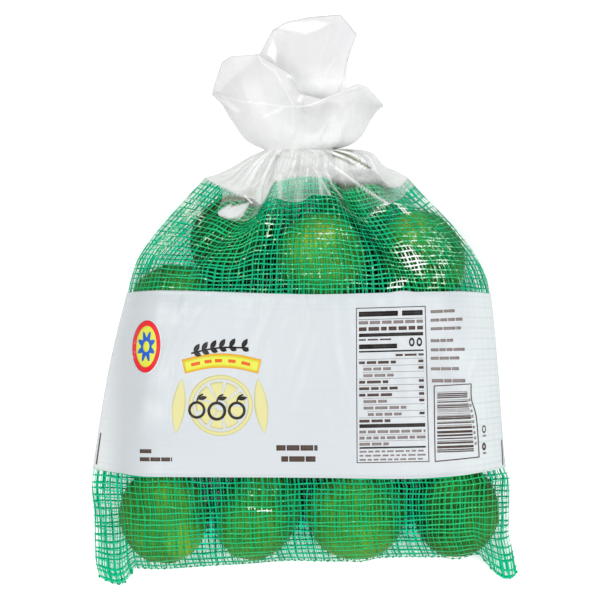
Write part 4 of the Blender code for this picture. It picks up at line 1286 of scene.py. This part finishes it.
def make_film(drape, look):
    """The clear film: it laps over the net, closes over the fruit, pinches in, and flares out."""
    rng = random.Random(look.seed + 6)
    around, rows = FILM_COLUMNS, LAP_ROWS + TOP_ROWS + FLARE_ROWS
    folds = [(rng.uniform(0, 2), rng.gauss(0, 0.10), rng.uniform(0.03, 0.09), rng.choice((-1, 1))
              * rng.uniform(0.5, 1.5)) for _ in range(26)]
    bends = [(rng.uniform(0.3, 0.95), rng.uniform(0, 2), rng.uniform(0.10, 0.3), rng.uniform(0.08, 0.2),
              rng.choice((-1, 1)) * rng.uniform(0.4, 1.2)) for _ in range(16)]

    def flare(s, t):
        neck = drape.place(s, 4.0) + drape.outward(s, 3.99) * 0.4
        rim = mouth_points(s / 2)
        soft = sum(mouth_points((s / 2 + move) % 1.0) for move in np.linspace(-0.045, 0.045, 9)) / 9
        blend = 0.85 * (1 - t ** 5) * np.abs(np.sin(PI * s)) ** 0.7
        mouth = rim + (soft - rim) * blend[:, None]
        angle = PI * (1 - s)
        sideways = np.cos(angle) * (0.62 + 0.13 * np.cos(angle))
        out = np.stack([sideways, -0.25 * np.ones(len(s)), 0.8 * np.sin(angle)], axis=1)
        lift, crease = np.zeros(len(s)), np.zeros(len(s))
        for middle, lean, wide, high in folds:
            away = np.abs((s - middle - lean * t + 1) % 2 - 1)
            lift += high * np.clip(1 - away / wide, 0, 1) * np.sin(PI * np.clip(t * 1.15, 0, 1)) ** 0.7
            # Painted highlight: a thin whiter line along each fold.
            crease = np.maximum(crease, 0.08 * np.clip(1 - away / 0.006, 0, 1) * np.clip(t * 6, 0, 1))
        for level, middle, wide, deep, high in bends:
            aside = np.abs((s - middle + 1) % 2 - 1) / wide
            away = np.abs(t - level + 0.12 * aside) / deep
            lift += high * np.clip(1 - away, 0, 1) * np.clip(1 - aside, 0, 1)
        points = neck + (mouth - neck) * t[:, None]
        points += out * (FLARE_SWELL * np.sin(PI * (1 - t) ** 2) + lift)[:, None]
        over_floor = FLOOR_CLEAR + 3 * np.logaddexp(0, (points[:, 2] - FLOOR_CLEAR) / 3)
        points[:, 2] += (over_floor - points[:, 2]) * np.minimum(t * 8, 1)
        # Painted shade: the mouth's rim is a little darker.
        crease = np.where(t > 0.985, -0.08, crease)
        return points, crease

    def cover(s, w):
        u = np.where(s <= 1, s, 2 - s)
        high, rim = eased(BAND_HIGH_LINE, u), eased(NET_RIM_LINE, u)
        low = np.where(s <= 1, 2 + (eased(FILM_LOW_LINE, u) - high) / (rim - high), 2.84)
        v = np.where(w <= 1, low + (3 - low) * w, 2 + w)
        grow = step_between(v, 2.75, 3.3) * (1 - 0.6 * step_between(v, 3.7, 4.0))
        run = u + 0.004 * np.sin(9 * v + 5 * u)
        folded = saw(11.5 * run + 0.2) + 0.6 * saw(23.3 * run + 0.11) + 0.35 * saw(41.7 * run)
        lift = 0.5 + 0.35 * look.crinkle * grow * np.sin(PI * u) ** 0.5 * folded
        points = drape.place(s, v) + drape.outward(s, np.minimum(v, 3.99)) * np.maximum(lift, 0.12)[:, None]
        # Painted highlights: the film is whiter along its pleats' ridges and in a strip at its lower edge.
        ridge = np.clip((np.abs(saw(11.5 * run + 0.2)) - 0.86) / 0.14, 0, 1)
        fine = np.clip((np.abs(saw(23.3 * run + 0.11)) - 0.9) / 0.1, 0, 1)
        beside_tongue = np.clip(np.abs(points[:, 0] + 34) / 12 - 0.6, 0.2, 1)
        crease = grow * np.maximum(0.3 * ridge, 0.2 * fine) * beside_tongue
        crease = np.maximum(crease, np.where(w <= 1, 0.15 * np.clip(1 - w * 10, 0, 1), 0))
        return points, crease

    def place(column, row):
        s = 2.0 * column / around
        w = np.interp(row, [0, LAP_ROWS, LAP_ROWS + TOP_ROWS, rows], [0, 1, 2, 3])
        near, near_crease = cover(s, np.minimum(w, 2.0))
        far, far_crease = flare(s, np.clip(w - 2, 0, 1))
        points = np.where((w <= 2)[:, None], near, far)
        join = np.exp(-((w - 2) / 0.05) ** 2)
        crease = np.where(w <= 2, near_crease, far_crease) * (1 - 0.5 * join)
        x, y = points[:, 0], points[:, 1]
        front = (s <= 1) | (y > 104)
        # The patches and folds below paint highlights (above 0) and shade (below 0) into the film.
        mark = crease
        for strength, soft, outline in FILM_PATCHES:
            near = np.clip(0.5 - outside(outline, x, y) / soft, 0, 1)
            mark = np.where(front & (near * abs(strength) > np.abs(mark)), near * strength, mark)
        for route, half, strength in FILM_FOLDS:
            near = np.clip(1.6 - 1.6 * route_distance(route, x, y) / (1.6 * half), 0, 1)
            mark = np.where(front & (near * abs(strength) > np.abs(mark)), near * strength, mark)
        haze = np.interp(w, [0, 0.85, 1.1, 1.6, 1.85, 2.1, 3.0], [0.08, 0.11, 0.40, 0.50, 0.62, 0.56, 0.58])
        haze = haze + 0.12 * step_between(x, 46, 56) * step_between(y, 48, 56) * (w < 1.4)
        right_lap = step_between(x, 10, 18) * step_between(-x, -46, -38) * step_between(-y, -66, -60)
        haze = haze * (1 - 0.85 * right_lap)
        haze = haze * (1 - 0.8 * step_between(-x, 22, 30) * step_between(-y, -60, -52) * (w < 2))
        # Painted light and shade in the film's tint: the lighter tint on the lap, shoulders and neck, fading
        # along the flare, and on the back wall inside the mouth where the front wall shades it; the back wall
        # above y 118 is painted darker.
        tone = np.interp(w, [0, 1.85, 2.05, 2.3, 2.6, 3.0], [1.0, 1.0, 0.78, 0.74, 0.60, 0.0])
        tone = tone * (1 - 0.8 * (s > 1) * step_between(y, 118, 130))
        inside = (s > 1) * (1 - step_between(np.abs(y - 110), 6, 14)) * step_between(x, -30, -16)
        tone = np.maximum(tone, inside)
        return points, {"mark": np.clip(mark, -1, 1), "haze": haze, "tone": tone}

    bm = grid(around, rows, place, ring=True)
    made = piece("clear_film", bm, [clear_material(look)], "film_top")
    made.data.set_sharp_from_angle(angle=math.radians(28))
    return thicken(made, FILM_THICK, -1.0)


# ================================================================ the stage

def area_light(name, place, size, power, colour):
    """A soft rectangular lamp that faces the bag."""
    lamp = bpy.data.lights.new(name, "AREA")
    lamp.shape = "RECTANGLE"
    lamp.size, lamp.size_y = size
    lamp.energy = power
    lamp.color = colour
    made = bpy.data.objects.new(name, lamp)
    made.location = place
    made.rotation_euler = (Vector((0.0, 0.0, 0.02)) - Vector(place)).to_track_quat("-Z", "Y").to_euler()
    bpy.context.scene.collection.objects.link(made)


def make_stage(look):
    """The pale floor, the lamps, the sky and the camera straight above."""
    scene = bpy.context.scene

    def place(column, row):
        across, up = 2 * column / FLOOR_CELLS - 1, 2 * row / FLOOR_CELLS - 1
        x, y = 240 * across + 4760 * across ** 7, 240 * up + 4760 * up ** 7
        return (np.stack([x, y, np.full(len(x), -0.4)], axis=1),
                {"glow": step_between(outside(SHADED_FLOOR, x, y), 0.0, 4.0)})

    floor_material, n, shader = new_material("floor_white", Base_Color=look.floor_colour, Roughness=0.7,
                                             Specular_IOR_Level=0.2, Emission_Strength=look.floor_glow)
    glow = n.mix(n.value("glow"), (0.0, 0.0, 0.0, 1.0), (1.0, 1.0, 1.0, 1.0))
    n.feed(shader.inputs["Emission Color"], glow)
    floor = to_object("floor", grid(FLOOR_CELLS, FLOOR_CELLS, place), [floor_material])

    area_light("key", (-1.0, 0.15, 2.1), (0.8, 1.2), look.key_power, (1.0, 0.99, 0.97))
    area_light("fill", (1.05, -0.05, 2.05), (0.8, 1.2), look.fill_power, (0.98, 0.99, 1.0))
    area_light("low", (0.1, -1.5, 1.5), (1.6, 0.9), look.low_power, (1.0, 1.0, 1.0))

    world = bpy.data.worlds.new("studio")
    world.use_nodes = True
    world.node_tree.nodes["Background"].inputs["Color"].default_value = (0.93, 0.96, 1.0, 1.0)
    world.node_tree.nodes["Background"].inputs["Strength"].default_value = look.sky
    scene.world = world

    camera = bpy.data.cameras.new("camera")
    camera.sensor_width = 36.0
    camera.lens = look.camera_lens
    camera.clip_end = 100.0
    eye = bpy.data.objects.new("camera", camera)
    eye.location = (look.camera_x, look.camera_y, look.camera_height)
    scene.collection.objects.link(eye)
    scene.camera = eye
    scene.view_settings.view_transform = "Standard"
    scene.cycles.transparent_max_bounces = 24


# ================================================================ the add-on

def length(name, default, description):
    """A length in metres for the panel."""
    return bpy.props.FloatProperty(name=name, default=default, description=description, unit="LENGTH",
                                   precision=5)


def colour(name, default, description):
    """A colour for the panel."""
    return bpy.props.FloatVectorProperty(name=name, default=default, description=description, size=4,
                                         subtype="COLOR", min=0.0, max=1.0)


def number(name, default, description):
    """A plain number for the panel."""
    return bpy.props.FloatProperty(name=name, default=default, description=description)


class LIMES_PG_look(bpy.types.PropertyGroup):
    """Everything that can be set about the bag's look."""

    seed: bpy.props.IntProperty(name="Seed", default=11, description="Start of every random draw")
    tape_count: bpy.props.IntProperty(name="Tapes", default=128, description="Tapes round the whole tube")
    tape_width: length("Tape width", 0.00086, "Width of one tape")
    fine_width: length("Fine strand", 0.00030, "Width of the fine strand between two tapes")
    weft_width: length("Weft width", 0.00083, "Width of one thread")
    warp_colour: colour("Tape", (0.0, 0.33, 0.13, 1.0), "Colour of the tapes")
    warp_pale: colour("Pale tape", (0.0, 0.44, 0.20, 1.0), "Colour of the tapes' pale streaks")
    warp_contact: colour("Tape on peel", (0.0, 0.37, 0.085, 1.0), "Colour of the tapes on a lime")
    weft_colour: colour("Thread", (0.0, 0.37, 0.15, 1.0), "Colour of the threads")
    weft_pale: colour("Pale thread", (0.02, 0.54, 0.26, 1.0), "Colour of the threads' pale streaks")
    weft_contact: colour("Thread on peel", (0.03, 0.49, 0.12, 1.0), "Colour of the threads on a lime")
    # The dark peel also darkens a lime whose ripe is below 0, as painted shade.
    peel_dark: colour("Dark peel", (0.014, 0.050, 0.008, 1.0), "Peel of the greenest limes")
    peel_green: colour("Green peel", (0.070, 0.245, 0.028, 1.0), "Peel of most limes")
    peel_yellow: colour("Yellow peel", (0.21, 0.52, 0.040, 1.0), "Peel where a lime has turned")
    peel_golden: colour("Golden peel", (0.62, 0.52, 0.035, 1.0), "Peel where a lime is ripest")
    band_colour: colour("Band", (0.565, 0.59, 0.612, 1.0), "White film of the band")
    band_shade: colour("Band shade", (0.54, 0.57, 0.60, 1.0), "Where the band is a little thinner")
    band_milky: colour("Milky film", (0.93, 0.96, 0.97, 1.0), "The band's unprinted sides")
    print_left: length("Left end of the print", -0.108, "Where the opaque white starts")
    print_right: length("Right end of the print", 0.086, "Where the opaque white ends")
    crinkle: number("Crinkle", 1.0, "Height of the creases in the films")
    # The bright film tint is painted light, used where the film would look too grey, and the dark pleat colour
    # is painted shade.
    film_colour: colour("Clear film", (0.705, 0.695, 0.707, 1.0), "Tint of the clear film's flare")
    film_lit_tint: colour("Bright film", (0.945, 0.95, 0.94, 1.0), "Tint of the clear film at the shoulders")
    film_pleat_shade: colour("Dark pleat", (0.15, 0.18, 0.08, 1.0), "Where the clear film's pleats are deepest")
    floor_colour: colour("Floor", (0.80, 0.80, 0.80, 1.0), "Colour of the floor")
    floor_glow: number("Floor glow", 0.40, "Light that comes through the floor, as on a light table")
    key_power: number("Key", 30.0, "Power of the lamp at the left, in watts")
    fill_power: number("Fill", 30.0, "Power of the lamp at the right, in watts")
    low_power: number("Low", 6.0, "Power of the lamp below, in watts")
    sky: number("Sky", 0.25, "Strength of the light from all round")
    camera_x: length("Camera x", -0.002675, "Where the camera stands")
    camera_y: length("Camera y", -0.00027, "Where the camera stands")
    camera_height: length("Camera height", 2.626, "Height of the camera over the floor")
    camera_lens: number("Lens", 291.6, "Focal length in millimetres")


def shared_drape():
    """The draped sheets, worked out once for all the pieces."""
    if "drape" not in MADE:
        MADE["drape"] = Drape()
    return MADE["drape"]


MADE = {}


class LIMES_OT_fruit(bpy.types.Operator):
    """Make the fifteen limes"""
    bl_idname = "limes.fruit"
    bl_label = "Limes"

    def execute(self, context):
        make_limes(context.scene.limes_look)
        return {"FINISHED"}


class LIMES_OT_net(bpy.types.Operator):
    """Make the net's tapes, its threads and the beads along its seam"""
    bl_idname = "limes.net"
    bl_label = "Net"

    def execute(self, context):
        drape, look = shared_drape(), context.scene.limes_look
        make_warp(drape, look, "net_warp", look.tape_width, WARP_ROWS, 0.0, 1)
        make_warp(drape, look, "net_fine", look.fine_width, FINE_ROWS, 0.5, 7)
        make_weft(drape, look)
        make_hem(drape, look)
        return {"FINISHED"}


class LIMES_OT_band(bpy.types.Operator):
    """Make the printed film band"""
    bl_idname = "limes.band"
    bl_label = "Band"

    def execute(self, context):
        look = context.scene.limes_look
        make_print(look, make_band(shared_drape(), look))
        return {"FINISHED"}


class LIMES_OT_film(bpy.types.Operator):
    """Make the clear film with its neck and flare"""
    bl_idname = "limes.film"
    bl_label = "Clear film"

    def execute(self, context):
        make_film(shared_drape(), context.scene.limes_look)
        return {"FINISHED"}


class LIMES_OT_stage(bpy.types.Operator):
    """Make the floor, the lamps and the camera"""
    bl_idname = "limes.stage"
    bl_label = "Stage"

    def execute(self, context):
        make_stage(context.scene.limes_look)
        return {"FINISHED"}


class LIMES_PT_panel(bpy.types.Panel):
    """The bag's controls in the sidebar"""
    bl_idname = "LIMES_PT_panel"
    bl_label = "Net bag of limes"
    bl_space_type = "VIEW_3D"
    bl_region_type = "UI"
    bl_category = "Limes"

    def draw(self, context):
        look = context.scene.limes_look
        for name in look.bl_rna.properties.keys():
            if name not in ("rna_type", "name"):
                self.layout.prop(look, name)
        for operator in OPERATORS:
            self.layout.operator(operator.bl_idname)


OPERATORS = (LIMES_OT_fruit, LIMES_OT_net, LIMES_OT_band, LIMES_OT_film, LIMES_OT_stage)
CLASSES = (LIMES_PG_look,) + OPERATORS + (LIMES_PT_panel,)


def register():
    for each in CLASSES:
        bpy.utils.register_class(each)
    bpy.types.Scene.limes_look = bpy.props.PointerProperty(type=LIMES_PG_look)


def unregister():
    del bpy.types.Scene.limes_look
    for each in reversed(CLASSES):
        bpy.utils.unregister_class(each)


def main():
    register()
    bpy.ops.limes.fruit()
    bpy.ops.limes.net()
    bpy.ops.limes.band()
    bpy.ops.limes.film()
    bpy.ops.limes.stage()


if __name__ == "__main__":
    main()
